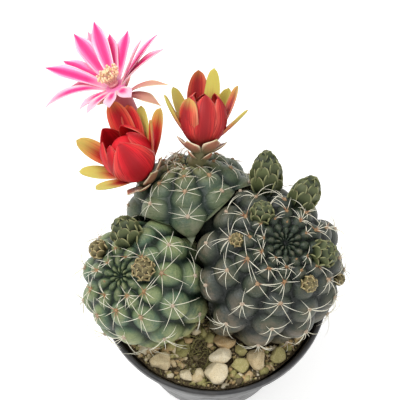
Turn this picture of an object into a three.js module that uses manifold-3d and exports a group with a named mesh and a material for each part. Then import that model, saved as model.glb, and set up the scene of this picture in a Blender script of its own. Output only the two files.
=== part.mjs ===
// Chin cactus (Gymnocalycium): three ribbed heads grown together, with their spines, buds and
// flowers, in gritty soil in a round plastic nursery pot.
// Units are millimetres, +Z is up, and the origin is the middle of the pot's flat base.
import * as THREE from 'three';
import { mergeVertices } from 'three/addons/utils/BufferGeometryUtils.js';
import Module from 'manifold-3d';

const wasm = await Module();
wasm.setup();

const DEG = Math.PI / 180;
const GOLDEN_ANGLE = 137.5 * DEG;
const GAP = 0.3;             // air left between pieces that touch
const SHORTEST_EDGE = 0.005; // the cuts leave finer slivers, which are closed up

// Pot: the outside sizes of a 9 cm nursery pot.
const POT_HEIGHT = 76;
const RIM_RADIUS = 45;
const RIM_WIDTH = 1.8;
const LIP_HEIGHT = 4;
const FOOT_RADIUS = 31;
const WALL = 1.2;
const FLOOR = 1.6;
const POT_SIDES = 36;
const DRAIN_HOLES = 6;
const DRAIN_RADIUS = 3.5;
const DRAIN_CIRCLE = 20;

// Soil, the stones that lie on it (where, and their half sizes), and its loose grit.
const SOIL_LEVEL = 71;
const SOIL_WAVE = 0.3;
const SOIL_SIDES = 24;
const GRIT_COUNT = 16;
const PEBBLES = [
  { at: [0.4, -35.2], size: [4.4, 4.3, 3.0] },
  { at: [3.9, -22.6], size: [3.9, 2.8, 2.4] },
  { at: [2.6, -28.7], size: [3.6, 2.7, 2.4] },
  { at: [9.9, -32.2], size: [2.8, 2.6, 2.2] },
  { at: [16.0, -29.6], size: [3.9, 3.4, 2.6] },
  { at: [10.6, -26.2], size: [2.0, 2.3, 1.9] },
  { at: [-20.8, -30.6], size: [3.8, 3.2, 2.6] },
  { at: [-10.6, -36.4], size: [2.4, 2.0, 1.8] },
  { at: [25.2, -28.0], size: [3.2, 2.6, 2.2] },
  { at: [32.6, -19.4], size: [2.4, 2.8, 2.0] },
  { at: [-33.0, 15.0], size: [2.8, 3.4, 2.3] },
  { at: [20.0, 30.5], size: [3.4, 3.0, 2.4] },
];

// Heads: chins in a lattice on ribs. `lean` is the tilt of the crown, as the X and Y parts of its
// unit axis, and `foot` the same for the buried end. `above` and `below` are the half heights
// against the radius. Each rib's chins lie `step` / `ribs` of a chin lower than the last rib's,
// `turn` and `start` set where the lattice begins, and `crown` and `spread` how its chins grow.
// `ribDepth` and `chinDepth` are shares of the radius, and each areole has `spines` at these
// angles, in degrees, of this `length`, which `rise` from the skin by so many degrees.
const HEADS = {
  head_left: {
    colour: 0x6f8f62, centre: [-27.1, -6.1, 94.5], lean: [-0.448, -0.169], foot: [-0.58, -0.12],
    radius: 20.8, above: 0.84, below: 1.5, ribs: 11, step: 5, turn: 4.582, start: 0.409,
    spread: 2.916, crown: 0.9, ribDepth: 0.06, chinDepth: 0.13,
    spines: [-145, -85, -28, 28, 85, 145], length: 8.6, rise: 24,
  },
  head_right: {
    colour: 0x57605a, centre: [20.0, 0.5, 97], lean: [0.264, 0.009], foot: [0.264, 0.009],
    radius: 25.2, above: 0.9, below: 1.6, ribs: 12, step: 5, turn: 3.096, start: 0.666,
    spread: 4.291, crown: 0.858, ribDepth: 0.06, chinDepth: 0.13,
    spines: [-95, -35, 35, 95], length: 9.6, rise: 22,
  },
  head_back: {
    colour: 0x5d7a66, centre: [-7.7, 24.5, 92.5], lean: [-0.169, 0.654], foot: [-0.08, 0.33],
    radius: 22.2, above: 0.92, below: 1.8, ribs: 9, step: 4, turn: 3.983, start: 0.125,
    spread: 3.785, crown: 0.511, ribDepth: 0.1, chinDepth: 0.09,
    spines: [-105, -30, 60], length: 8.2, rise: 24,
  },
};
const DIMPLE = 0.07;         // the hollow at the crown, of the head's radius
const DIMPLE_REACH = 0.3;    // radians
const AREOLE = 0.3;          // where the areole sits on its chin, from the notch above it
const CHIN_TOP = 0.46;       // where the chin stands out most
const WAIST = 70 * DEG;      // below this the chins keep one length
const HEAD_FOOT = 65.5;      // the buried heads are cut flat here, and their sockets just below
const SOCKET_FLOOR = 65;
const HEAD_CLEARANCE = 0.55;
const SOCKET_CLEARANCE = 0.8;
const CHIN_ROWS = [0.03, 0.26, 0.7, 0.96];
const RIB_COLUMNS = [-0.5, -0.18, 0.18];
const SKIN_START = 0.07;     // radians from the crown to the first row
const SKIN_END = 135 * DEG;
const SPINE_RADIUS = 0.27;
const SPINE_ROOT = 0.9;
const SPINE_CLEARANCE = 0.4;
const FIRST_AREOLE = 0.42;   // radians
const LAST_AREOLE = 109 * DEG;

// Flowers rise from the crown of the back head. `seat` is where the tube leaves the head, `throat`
// the flat top of the tube, and `facing` the way that the flower looks. Each petal, sepal and
// wrapped inner petal is [turn round the flower, lean from its axis, length, width, curl from root
// to tip].
const FLOWERS = {
  bloom_open: {
    seat: [-25.5, 40.5, 93], throat: [-37.2, 64.6, 115.0], facing: [-0.42, 0.45, 0.78],
    tube: 4.2,
    petals: [
      [300, 60, 28, 6.8, 12], [280, 68, 26, 6.4, 10], [260, 52, 28, 6.6, 12],
      [248, 57, 27, 5.6, 16], [238, 50, 28, 6.2, 12], [231, 65, 24, 6, 8],
      [213, 68, 24, 6.2, 8], [142, 57, 27, 6, 10], [131, 46, 25, 5, 8],
      [130, 66, 27, 5, 24], [296, 84, 20, 5.4, 20], [324, 83, 28, 5.6, 60],
      [344, 90, 14, 4, 30], [18, 82, 15, 5, 20], [50, 84, 13, 5.2, 20], [84, 86, 13, 5.4, 14],
    ],
    sepals: [[116, 83, 24, 3.8, 50], [108, 106, 18, 5, 60], [0, 66, 8, 5, 20], [200, 64, 8, 5, 20]],
  },
  bloom_red_left: {
    seat: [-24.6, 33, 99.5], throat: [-26.8, 32.3, 106.7], facing: [-0.45, 0.38, 0.81],
    tube: 3.8, size: 1.15,
    wraps: [[60, 8, 20, 13, -104], [180, 8, 22, 13, -104], [270, 24, 24, 13, -76]],
    petals: [
      [230, 32, 25, 8.4, -20], [212, 34, 22, 8, -16], [176, 48, 21, 7.6, -20],
      [200, 42, 21, 6, -14], [290, 42, 23, 7.6, -16], [310, 62, 19, 6.4, -8],
      [350, 60, 15, 6.4, -8], [148, 30, 20, 6.4, -20],
    ],
    sepals: [[20, 62, 10, 5, 0], [44, 62, 10, 5, 0], [124, 44, 14, 5.4, -10], [86, 40, 9, 7, -40]],
  },
  bloom_red_right: {
    seat: [-7.5, 37, 109], throat: [-4.8, 39.1, 118.6], facing: [0.07, 0.82, 0.57],
    tube: 3.6, size: 1,
    wraps: [[96, 4, 23, 13, -116], [216, 4, 23, 13, -116], [336, 4, 23, 13, -116]],
    petals: [
      [300, 9, 28, 8.4, -40], [250, 9, 29, 5.6, -36], [200, 24, 25, 7, -30],
      [240, 31, 24, 6, -24], [318, 35, 24, 6.4, -24], [10, 36, 22, 6, -24], [170, 44, 20, 4.8, -10],
      [36, 20, 17, 8, -64],
    ],
    sepals: [[5, 54, 9, 5, -20], [54, 56, 8, 6, -20], [130, 46, 9, 7, -20], [186, 60, 8, 5, -20],
      [280, 60, 8, 6, -20]],
  },
};
const TUBE_FOOT = 2.6;
const STAMENS = 8;

// Buds: `around` and `down` place each on its head, in degrees, and `tip` leans it.
const BUDS = [
  { head: 'head_right', around: 98, down: 64.5, length: 17, width: 11.4, tip: [0, 0.1, 0.35] },
  { head: 'head_right', around: 67, down: 46, length: 14.5, width: 10.6, tip: [0.1, 0.2, 0] },
  { head: 'head_right', around: 130, down: 30, length: 8, width: 8.6, tip: [0, 0, 0.2] },
  { head: 'head_right', around: 348, down: 31, length: 9, width: 10, tip: [0.1, 0, 0.1] },
  { head: 'head_right', around: 300, down: 37, length: 5.5, width: 6, tip: [0, 0, 0.2] },
  { head: 'head_right', around: 180, down: 40, length: 4.5, width: 4.8, tip: [0, 0, 0] },
  { head: 'head_right', around: 346, down: 74, length: 4.5, width: 4.8, tip: [0, 0, 0.2] },
  { head: 'head_left', around: 82, down: 39, length: 12, width: 11, tip: [0, 0.25, 0] },
  { head: 'head_left', around: 131, down: 35, length: 6, width: 7, tip: [0, 0, 0] },
  { head: 'head_left', around: 7, down: 27, length: 7, width: 8.4, tip: [0, 0, 0] },
];
const BUD_SCALES = 5;
const LONG_BUD = 7;          // buds longer than this have more rows of scales

const LOOKS = {
  pot: [0x2b2b2d, 0.5], soil: [0x4a3b2c, 0.95], pebble: [0xb39f7c, 0.85], bud: [0x67703f, 0.6],
  bloom_open_tube: [0xa3566a, 0.6], bloom_open_petals: [0xee5fa5, 0.5],
  bloom_open_stamens: [0xe9d08a, 0.7], bloom_red_left_tube: [0x7c6a3d, 0.6],
  bloom_red_left_petals: [0xc61f2f, 0.45], bloom_red_right_tube: [0x7c6a3d, 0.6],
  bloom_red_right_petals: [0xc02c33, 0.45],
};

const up = new THREE.Vector3(0, 0, 1);
const vec = (x, y, z) => new THREE.Vector3(x, y, z);
const fraction = (x) => x - Math.floor(x);
const smooth = (low, high, x) => THREE.MathUtils.smoothstep(x, low, high);
const numbered = (word, i) => `${word}_${String(i + 1).padStart(2, '0')}`;

function seeded(seed) {
  let state = seed;
  return () => {
    state = (state * 1664525 + 1013904223) % 4294967296;
    return state / 4294967296;
  };
}

// ---- meshes and solids -------------------------------------------------------------------------

function solidOf(source) {
  const loose = source.clone();
  loose.deleteAttribute('normal');
  loose.deleteAttribute('uv');
  const merged = mergeVertices(loose, 1e-4);
  const index = merged.index.array;
  const kept = [];
  for (let i = 0; i < index.length; i += 3) {
    const [a, b, c] = [index[i], index[i + 1], index[i + 2]];
    if (a !== b && b !== c && c !== a) kept.push(a, b, c);
  }
  const vertProperties = Float32Array.from(merged.attributes.position.array);
  const mesh = new wasm.Mesh({ numProp: 3, vertProperties, triVerts: Uint32Array.from(kept) });
  return new wasm.Manifold(mesh);
}

function geometryOf(solid) {
  const mesh = solid.getMesh();
  const geometry = new THREE.BufferGeometry();
  const position = new THREE.BufferAttribute(Float32Array.from(mesh.vertProperties), 3);
  geometry.setAttribute('position', position);
  geometry.setIndex(Array.from(mesh.triVerts));
  return geometry;
}

function joined(solids) {
  let layer = solids;
  while (layer.length > 1) {
    const next = [];
    for (let i = 0; i < layer.length; i += 2) {
      next.push(i + 1 < layer.length ? layer[i].add(layer[i + 1]) : layer[i]);
    }
    layer = next;
  }
  return layer[0];
}

// The biggest body of a cut piece, without the crumbs that the cut left beside it.
function largest(solid) {
  return solid.decompose().reduce((a, b) => (a.volume() > b.volume() ? a : b));
}

// The part of a solid above a level.
function above(solid, level) {
  const size = 400;
  const slab = new THREE.BoxGeometry(size, size, size).translate(0, 0, level + size / 2);
  return solid.intersect(solidOf(slab));
}

// A profile of [radius, height] points turned about Z.
function turned(profile, sides) {
  const points = profile.map(([r, z]) => new THREE.Vector2(r, z));
  return solidOf(new THREE.LatheGeometry(points, sides).rotateX(Math.PI / 2));
}

// Rings of points, all of one size, with a fan over each end. A ring of one point is a pole.
function skinOf(rings) {
  const points = rings.flat();
  const faces = [];
  let first = 0;
  for (let r = 0; r + 1 < rings.length; r += 1) {
    const [a, b] = [rings[r].length, rings[r + 1].length];
    const second = first + a;
    for (let i = 0; i < Math.max(a, b); i += 1) {
      const j = (i + 1) % Math.max(a, b);
      if (a > 1) faces.push([first + i, first + j, second + (b > 1 ? j : 0)]);
      if (b > 1) faces.push([first + (a > 1 ? i : 0), second + j, second + i]);
    }
    first = second;
  }
  closeEnd(points, faces, rings[0], 0, false);
  closeEnd(points, faces, rings[rings.length - 1], first, true);
  const geometry = new THREE.BufferGeometry();
  const position = points.flatMap((p) => [p.x, p.y, p.z]);
  geometry.setAttribute('position', new THREE.Float32BufferAttribute(position, 3));
  geometry.setIndex(faces.flat());
  return geometry;
}

function closeEnd(points, faces, ring, first, last) {
  if (ring.length < 2) return;
  const middle = points.length;
  const sum = ring.reduce((total, p) => total.add(p), vec(0, 0, 0));
  points.push(sum.divideScalar(ring.length));
  for (let i = 0; i < ring.length; i += 1) {
    const j = (i + 1) % ring.length;
    faces.push(last ? [first + i, first + j, middle] : [first + j, first + i, middle]);
  }
}

function circle(middle, across, other, radius, sides) {
  return Array.from({ length: sides }, (_, k) => {
    const angle = (2 * Math.PI * k) / sides;
    return middle.clone()
      .addScaledVector(across, radius * Math.cos(angle))
      .addScaledVector(other, radius * Math.sin(angle));
  });
}

function perpendicular(direction) {
  const helper = Math.abs(direction.z) < 0.9 ? up : vec(1, 0, 0);
  return helper.clone().cross(direction).normalize();
}

// A rod along a path of points, with a radius for each. A radius of 0 is a sharp end.
function rod(path, radii, sides) {
  const across = perpendicular(path[1].clone().sub(path[0]).normalize());
  return solidOf(skinOf(path.map((point, i) => {
    if (radii[i] === 0) return [point.clone()];
    const before = path[Math.max(i - 1, 0)];
    const after = path[Math.min(i + 1, path.length - 1)];
    const along = after.clone().sub(before).normalize();
    across.addScaledVector(along, -across.dot(along)).normalize();
    return circle(point, across, along.clone().cross(across), radii[i], sides);
  })));
}

// ---- pot and soil ------------------------------------------------------------------------------

function innerWall(level) {
  const foot = FOOT_RADIUS - WALL;
  const slope = (RIM_RADIUS - RIM_WIDTH - foot) / (POT_HEIGHT - FLOOR);
  return foot + (level - FLOOR) * slope;
}

function potSolid() {
  const lipFoot = POT_HEIGHT - LIP_HEIGHT;
  const round = 0.7;         // the soft edges of the rim and the foot
  const outside = [
    [0, 0], [FOOT_RADIUS - round, 0], [FOOT_RADIUS, round],
    [innerWall(lipFoot) + WALL, lipFoot], [RIM_RADIUS - round, lipFoot],
    [RIM_RADIUS, POT_HEIGHT - round], [RIM_RADIUS - round, POT_HEIGHT],
  ];
  const inside = [
    [innerWall(POT_HEIGHT) + round / 2, POT_HEIGHT],
    [innerWall(POT_HEIGHT - round), POT_HEIGHT - round], [FOOT_RADIUS - WALL, FLOOR], [0, FLOOR],
  ];
  let pot = turned([...outside, ...inside], POT_SIDES);
  for (let i = 0; i < DRAIN_HOLES; i += 1) {
    const angle = (2 * Math.PI * i) / DRAIN_HOLES;
    const hole = new THREE.CylinderGeometry(DRAIN_RADIUS, DRAIN_RADIUS, 4 * FLOOR, 8);
    hole.rotateX(Math.PI / 2);
    hole.translate(DRAIN_CIRCLE * Math.cos(angle), DRAIN_CIRCLE * Math.sin(angle), 0);
    pot = pot.subtract(solidOf(hole));
  }
  return pot;
}

// The rim with a little air round it, which a head that leans over it is cut to.
function rimCutter() {
  const under = SOIL_LEVEL - 6;
  const profile = [
    [RIM_RADIUS + 2 * GAP, under], [RIM_RADIUS + 2 * GAP, POT_HEIGHT],
    [RIM_RADIUS - GAP, POT_HEIGHT + 2 * GAP], [innerWall(POT_HEIGHT) - GAP, POT_HEIGHT + 2 * GAP],
    [innerWall(POT_HEIGHT) - 3 * GAP, POT_HEIGHT - 1], [innerWall(under) - 3 * GAP, under],
  ];
  return turned([...profile, profile[0]], POT_SIDES);
}

function soilTop(x, y) {
  const broad = Math.sin(0.31 * x + 1.1) * Math.cos(0.27 * y - 0.4);
  const fine = 0.6 * Math.sin(0.71 * x - 0.53 * y) + 0.5 * Math.cos(0.63 * x + 0.83 * y + 2);
  return SOIL_LEVEL + SOIL_WAVE * (broad + fine);
}

function soilSolid(sockets) {
  const floor = FLOOR + GAP;
  const edge = innerWall(SOIL_LEVEL) - 3 * GAP;
  const ringAt = (radius, level) => (
    circle(vec(0, 0, level), vec(1, 0, 0), vec(0, 1, 0), radius, SOIL_SIDES));
  const rings = [ringAt(innerWall(floor) - GAP, floor), ringAt(edge, SOIL_LEVEL - 1)];
  for (const share of [0.98, 0.88, 0.76, 0.6]) {
    const ring = ringAt(edge * share, 0);
    ring.forEach((p) => p.setZ(soilTop(p.x, p.y)));
    rings.push(ring);
  }
  return largest(joined([solidOf(skinOf(rings)), ...gritSolids(edge)]).subtract(joined(sockets)));
}

function gritSolids(edge) {
  const random = seeded(7);
  const grit = [];
  for (let i = 0; i < GRIT_COUNT; i += 1) {
    const angle = GOLDEN_ANGLE * i;
    const radius = edge * (0.8 + 0.13 * random());
    const size = 1 + 0.8 * random();
    const grain = new THREE.OctahedronGeometry(size);
    grain.scale(1, 0.8 + 0.4 * random(), 0.75);
    grain.rotateX(random());
    grain.rotateZ(6 * random());
    const [x, y] = [radius * Math.cos(angle), radius * Math.sin(angle)];
    grain.translate(x, y, soilTop(x, y) + 0.1 * size);
    const free = PEBBLES.every(({ at, size: [a, b] }) => (
      Math.hypot(x - at[0], y - at[1]) > Math.max(a, b) + size + GAP));
    if (free) grit.push(solidOf(grain));
  }
  return grit;
}

// A stone with an uneven skin, cut flat where it lies on the soil.
function pebbleSolid({ at: [x, y], size }, seed) {
  const pebble = new THREE.SphereGeometry(1, 8, 4).rotateX(Math.PI / 2);
  const position = pebble.attributes.position;
  for (let i = 0; i < position.count; i += 1) {
    const p = vec().fromBufferAttribute(position, i);
    const dent = 0.1 * Math.sin(3 * p.x + seed) + 0.08 * Math.cos(4 * p.y - 2 * p.z + 2 * seed);
    p.multiply(vec(...size)).multiplyScalar(1 + dent);
    position.setXYZ(i, p.x, p.y, p.z);
  }
  const sides = [-1, 0, 1];
  const levels = sides.flatMap((i) => sides.map((j) => soilTop(x + i * size[0], y + j * size[1])));
  const ground = Math.max(...levels) + GAP;
  pebble.rotateZ(seed).translate(x, y, ground + 0.35 * size[2]);
  return above(solidOf(pebble), ground);
}

// ---- heads -------------------------------------------------------------------------------------

function unitFromLean([x, y]) {
  return vec(x, y, Math.sqrt(1 - x * x - y * y));
}

class Head {
  constructor(name, shape) {
    Object.assign(this, shape, { name, middle: vec(...shape.centre) });
    this.axis = unitFromLean(shape.lean);
    this.bend = new THREE.Quaternion().setFromUnitVectors(this.axis, unitFromLean(shape.foot));
    this.across = vec(1, 0, 0);
    this.across.addScaledVector(this.axis, -this.across.dot(this.axis)).normalize();
    this.other = this.axis.clone().cross(this.across);
  }

  // How far the chins stand out of the plain body, at a rib number and an angle from the crown. A
  // chin is a dome a little wider than its rib, and the higher of the two nearest ribs counts.
  relief(rib, down) {
    return this.swell(down) * Math.max(...[0, 1].map((side) => {
      const nearest = Math.floor(rib) + side;
      const lag = (nearest * this.step) / this.ribs + this.start;
      const past = fraction(this.alongOf(down) - lag + AREOLE) - CHIN_TOP;
      const along = past / (past < 0 ? CHIN_TOP : 1 - CHIN_TOP);
      const across = 2 * Math.abs(rib - nearest);
      const crest = Math.max(0, 1 - 0.9 * across ** 2.4);
      const dome = Math.max(0, 1 - ((across / 1.12) ** 2 + 0.95 * along ** 2) ** 1.1) ** 0.8;
      return this.ribDepth * crest + this.chinDepth * dome;
    }));
  }

  // Chins are small at the crown, full size at the waist, and fade out near the ground.
  swell(down) {
    const growth = Math.min(1, (down + this.crown) / (Math.PI / 2 + this.crown));
    const fade = 1 - 0.8 * smooth(115 * DEG, 150 * DEG, down);
    return this.radius * growth * fade;
  }

  // Chins lengthen from the crown down to the waist. This counts them along a rib.
  alongOf(down) {
    const upper = Math.min(down, WAIST);
    const lower = (down - upper) / (WAIST + this.crown);
    return this.spread * (Math.log(1 + upper / this.crown) + lower);
  }

  downOf(along) {
    const past = along / this.spread - Math.log(1 + WAIST / this.crown);
    if (past > 0) return WAIST + past * (WAIST + this.crown);
    return this.crown * (Math.exp(along / this.spread) - 1);
  }

  // A point of the skin and the direction out of it.
  place(rib, down, offset = 0) {
    return this.raised(rib, down, this.relief(rib, down) + offset);
  }

  raised(rib, down, relief) {
    const angle = (2 * Math.PI * rib) / this.ribs + this.turn;
    const height = Math.cos(down) > 0 ? this.above : this.below;
    const dimple = DIMPLE * this.radius * Math.exp(-((down / DIMPLE_REACH) ** 2));
    const radial = this.across.clone().multiplyScalar(Math.cos(angle))
      .addScaledVector(this.other, Math.sin(angle));
    const point = radial.clone().multiplyScalar(this.radius * Math.sin(down))
      .addScaledVector(this.axis, this.radius * height * Math.cos(down));
    const normal = radial.multiplyScalar(Math.sin(down))
      .addScaledVector(this.axis, Math.cos(down) / height).normalize();
    const bent = new THREE.Quaternion().slerp(this.bend, smooth(75 * DEG, 140 * DEG, down));
    point.addScaledVector(normal, relief - dimple).applyQuaternion(bent).add(this.middle);
    return { point, normal: normal.applyQuaternion(bent) };
  }

  // Rows of points follow the chins of each rib, so that every notch has its own edge.
  skin(offset = 0) {
    const levels = [];
    for (let whole = 0; whole < this.ribs; whole += 1) {
      levels.push(...CHIN_ROWS.map((row) => whole + row - AREOLE + this.start));
    }
    const rings = [[this.place(0, Math.PI, offset).point]];
    for (const level of levels.reverse()) {
      const down = this.downOf(level);
      if (down > SKIN_START && down < SKIN_END) {
        const fade = smooth(0.05, 0.3, down) * (1 - smooth(110 * DEG, SKIN_END, down));
        rings.push(this.ring(level, fade, offset));
      }
    }
    rings.push([this.raised(0, 0, offset).point]);
    return solidOf(skinOf(rings));
  }

  ring(level, fade, offset) {
    const ring = [];
    for (let rib = 0; rib < this.ribs; rib += 1) {
      for (const column of RIB_COLUMNS) {
        const groove = (this.lagOf(rib) + this.lagOf(rib + this.ribs - 1)) / 2;
        const lag = column === RIB_COLUMNS[0] ? groove : this.lagOf(rib);
        ring.push(this.place(rib + column, this.downOf(level + fade * lag), offset).point);
      }
    }
    return ring;
  }

  lagOf(rib) {
    const lag = fraction((rib * this.step) / this.ribs);
    return lag > 0.5 ? lag - 1 : lag;
  }

  // The plain form that just clears the tops of all the chins.
  envelope(clearance) {
    const rows = 14;
    const columns = 24;
    const rings = [[this.raised(0, Math.PI, clearance).point]];
    for (let row = rows - 1; row >= 0; row -= 1) {
      const down = (Math.PI * row) / rows;
      const relief = (this.ribDepth + this.chinDepth) * this.swell(down) + clearance;
      rings.push(Array.from({ length: row === 0 ? 1 : columns }, (_, i) => (
        this.raised((i * this.ribs) / columns, down, relief).point)));
    }
    return solidOf(skinOf(rings));
  }

  // Each areole as its rib number and its angle from the crown.
  areoles() {
    const found = [];
    for (let rib = 0; rib < this.ribs; rib += 1) {
      for (let row = -this.step; row < this.ribs; row += 1) {
        const down = this.downOf(row + (rib * this.step) / this.ribs + this.start);
        if (down > FIRST_AREOLE && down < LAST_AREOLE) found.push([rib, down]);
      }
    }
    return found;
  }

  // Spines fan out from each areole. One is kept if a thicker copy of it touches nothing else.
  spineSolids(body, obstacles, random) {
    const kept = [];
    for (const [rib, down] of this.areoles()) {
      const { point, normal } = this.place(rib, down);
      const descent = this.raised(rib, down + 0.02, 0).point.sub(this.raised(rib, down, 0).point);
      descent.addScaledVector(normal, -descent.dot(normal)).normalize();
      const side = normal.clone().cross(descent);
      const young = 0.6 + 0.4 * Math.min(1, down / 0.8);
      for (const spread of this.spines) {
        const angle = (spread + 16 * (random() - 0.5)) * DEG;
        const length = this.length * young * (0.85 + 0.3 * random());
        const rise = (this.rise + 10 * (random() - 0.5)) * DEG;
        const tip = point.clone().addScaledVector(normal, length * Math.sin(rise))
          .addScaledVector(descent, length * Math.cos(rise) * Math.cos(angle))
          .addScaledVector(side, length * Math.cos(rise) * Math.sin(angle));
        const path = [point.clone().addScaledVector(normal, -SPINE_ROOT), tip];
        const spine = rod(path, [SPINE_RADIUS, 0], 3);
        const guard = rod(path, path.map(() => SPINE_RADIUS + SPINE_CLEARANCE), 4);
        const rooted = !spine.intersect(body).isEmpty();
        if (rooted && obstacles.every((solid) => guard.intersect(solid).isEmpty())) kept.push(spine);
      }
    }
    return kept;
  }
}

// ---- leaves, flowers and buds ------------------------------------------------------------------

// A frame to stand a flower or a bud in: its own Z is `facing`.
function standing(base, facing) {
  const axis = facing.clone().normalize();
  const right = perpendicular(axis);
  const frame = new THREE.Matrix4().makeBasis(right, axis.clone().cross(right), axis);
  return frame.setPosition(base).toArray();
}

// Outlines of a leaf: how far along it each section is, and how wide against the widest.
const POINTED = [[0, 0.34], [0.42, 0.9], [0.76, 1], [1, 0]];
const ROUNDED = [[0, 0.5], [0.4, 0.86], [0.8, 1], [1, 0]];
const WRAPPED = [[0, 0.4], [0.3, 0.9], [0.6, 1], [0.85, 0.66], [1, 0]];
const SCALE = [[0, 0.9], [0.6, 1], [1, 0]];

// A leaf with a lens-shaped section, round the Z axis. It starts at `radius` and `height`, leaves
// at `open` degrees from the axis and ends at `close` degrees, and `cup` lifts its edges.
function leaf({ turn, radius, height, length, width, open, close, outline, thick = 0.8, cup = 0.1 }) {
  const radial = vec(Math.cos(turn), Math.sin(turn), 0);
  const side = vec(-Math.sin(turn), Math.cos(turn), 0);
  const point = radial.clone().multiplyScalar(radius).setZ(height);
  const angleAt = (station) => (open + (close - open) * station) * DEG;
  const rings = outline.map(([station, breadth], i) => {
    const angle = angleAt(station);
    const face = radial.clone().multiplyScalar(-Math.cos(angle)).setZ(Math.sin(angle));
    const before = i > 0 ? outline[i - 1][0] : station;
    const slope = angleAt((before + station) / 2);
    const along = radial.clone().multiplyScalar(Math.sin(slope)).setZ(Math.cos(slope));
    point.addScaledVector(along, length * (station - before));
    if (breadth === 0) return [point.clone()];
    const half = (width / 2) * breadth;
    const ridge = (lift) => point.clone().addScaledVector(face, lift);
    const edge = (reach) => ridge(cup * half).addScaledVector(side, reach);
    return [edge(half), ridge(thick / 2), edge(-half), ridge(-thick / 2)];
  });
  return solidOf(skinOf(rings));
}

// The petals or sepals of one flower, from its list of [turn, lean, length, width, curl].
function leavesOf(list, shape) {
  return list.map(([turn, lean, length, width, curl]) => leaf({
    ...shape, turn: turn * DEG, length, width, open: lean - curl / 2, close: lean + curl / 2,
  }));
}

// The tube runs from the head to the throat and widens. Sepals and small scales grow from it.
function tubeSolid({ seat, throat, facing, tube: top, sepals }) {
  const [start, end] = [vec(...seat), vec(...throat)];
  const axis = vec(...facing).normalize();
  const reach = start.distanceTo(end);
  const bend = end.clone().addScaledVector(axis, -0.55 * reach);
  const path = new THREE.QuadraticBezierCurve3(start, bend, end).getPoints(4);
  const radii = [0, 0.25, 0.55, 0.8, 0.97].map((s) => TUBE_FOOT + (top - TUBE_FOOT) * s);
  const frame = standing(end, axis);
  const size = 60;
  const room = new THREE.BoxGeometry(size, size, size).translate(0, 0, -size / 2);
  const small = [[20, 42, 5.2, 4.4, -27], [140, 42, 5.2, 4.4, -27], [260, 42, 5.2, 4.4, -27]];
  const scales = [
    ...leavesOf(small, { radius: top - 1.6, height: -0.42 * reach - 0.8, outline: SCALE }),
    ...leavesOf(sepals, { radius: top - 1.4, height: -2.6, outline: POINTED }),
  ];
  return joined([
    rod(path, radii, 8).intersect(solidOf(room).transform(frame)),
    ...scales.map((scale) => scale.transform(frame)),
  ]);
}

function openPetals({ petals }) {
  const cup = turned([[0, GAP], [3.4, GAP], [4.4, 1.6], [3.2, 2.6], [0, 2]], 14);
  return joined([cup, ...leavesOf(petals, { radius: 2.8, height: 1.5, outline: POINTED })]);
}

function stamenSolid(random) {
  const pieces = [turned([[0, 2.9], [2, 3.2], [1.7, 4.2], [0, 5]], 8)];
  for (let i = 0; i < STAMENS; i += 1) {
    const angle = GOLDEN_ANGLE * i;
    const outward = vec(Math.cos(angle), Math.sin(angle), 0);
    const direction = outward.clone().multiplyScalar(0.62 * Math.sqrt(i / STAMENS)).setZ(1);
    const foot = outward.clone().multiplyScalar(0.9).setZ(3.8);
    const tip = foot.clone().addScaledVector(direction.normalize(), 6 + 1.6 * random());
    const anther = new THREE.OctahedronGeometry(0.85).translate(tip.x, tip.y, tip.z);
    pieces.push(rod([foot, tip], [0.32, 0.32], 3), solidOf(anther));
  }
  return joined(pieces);
}

// A half-open flower: petals wrapped round an egg, and looser ones that stand round them.
function redPetals({ size, wraps, petals }) {
  const egg = [[0, GAP], [2.6, GAP], [5.6, 2.8], [7, 6.2], [7.3, 9.6], [6.9, 13], [5, 17], [0, 19.6]];
  const shape = { radius: 2.6, height: 0.9, thick: 1 };
  return joined([
    turned(egg, 9),
    ...leavesOf(wraps, { ...shape, outline: WRAPPED, cup: 0.42 }),
    ...leavesOf(petals, { ...shape, outline: ROUNDED, cup: 0.25 }),
  ]).scale([size, size, size]);
}

// An egg in rows of scales. Each scale grows thicker towards its tip and hides the next one's root.
function budSolid({ length, width }) {
  const rows = length > LONG_BUD ? 5 : 3;
  const rings = [[vec(0, 0, -0.35 * length)]];
  for (let row = 0; row < rows; row += 1) {
    for (const phase of [0.06, 0.97]) {
      const share = (row + phase) / (rows + 0.15);
      const swell = Math.sin(Math.PI * (0.22 + 0.7 * share) ** 1.2) ** 0.6;
      rings.push(Array.from({ length: 2 * BUD_SCALES }, (_, k) => {
        const onScale = (k + row) % 2 === 0;
        const lift = (onScale ? 0.24 : 0) * phase * (1 - 0.4 * share);
        const height = length * (share + (onScale ? 0.06 : -0.05) * phase - 0.1);
        const angle = (Math.PI * k) / BUD_SCALES;
        const radius = (width / 2) * swell * (0.8 + lift);
        return vec(radius * Math.cos(angle), radius * Math.sin(angle), height);
      }));
    }
  }
  rings.push([vec(0, 0, length)]);
  return solidOf(skinOf(rings));
}

// ---- assembly ----------------------------------------------------------------------------------

const heads = Object.entries(HEADS).map(([name, shape]) => new Head(name, shape));
const [left, right, back] = heads;
const solids = { pot: potSolid() };

// Where heads press together, the left one keeps its form, then the right one.
const rim = rimCutter();
const cutLeft = left.envelope(HEAD_CLEARANCE);
const cutRight = right.envelope(HEAD_CLEARANCE);
solids.soil = soilSolid(heads.map((head) => above(head.envelope(SOCKET_CLEARANCE), SOCKET_FLOOR)));
const cutters = { [left.name]: [], [right.name]: [cutLeft], [back.name]: [cutLeft, cutRight] };
for (const head of heads) {
  const whole = above(head.skin(), HEAD_FOOT);
  solids[head.name] = largest(whole.subtract(joined([rim, ...cutters[head.name]])));
}

PEBBLES.forEach((pebble, i) => {
  solids[numbered('pebble', i)] = pebbleSolid(pebble, i + 1);
});

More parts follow.
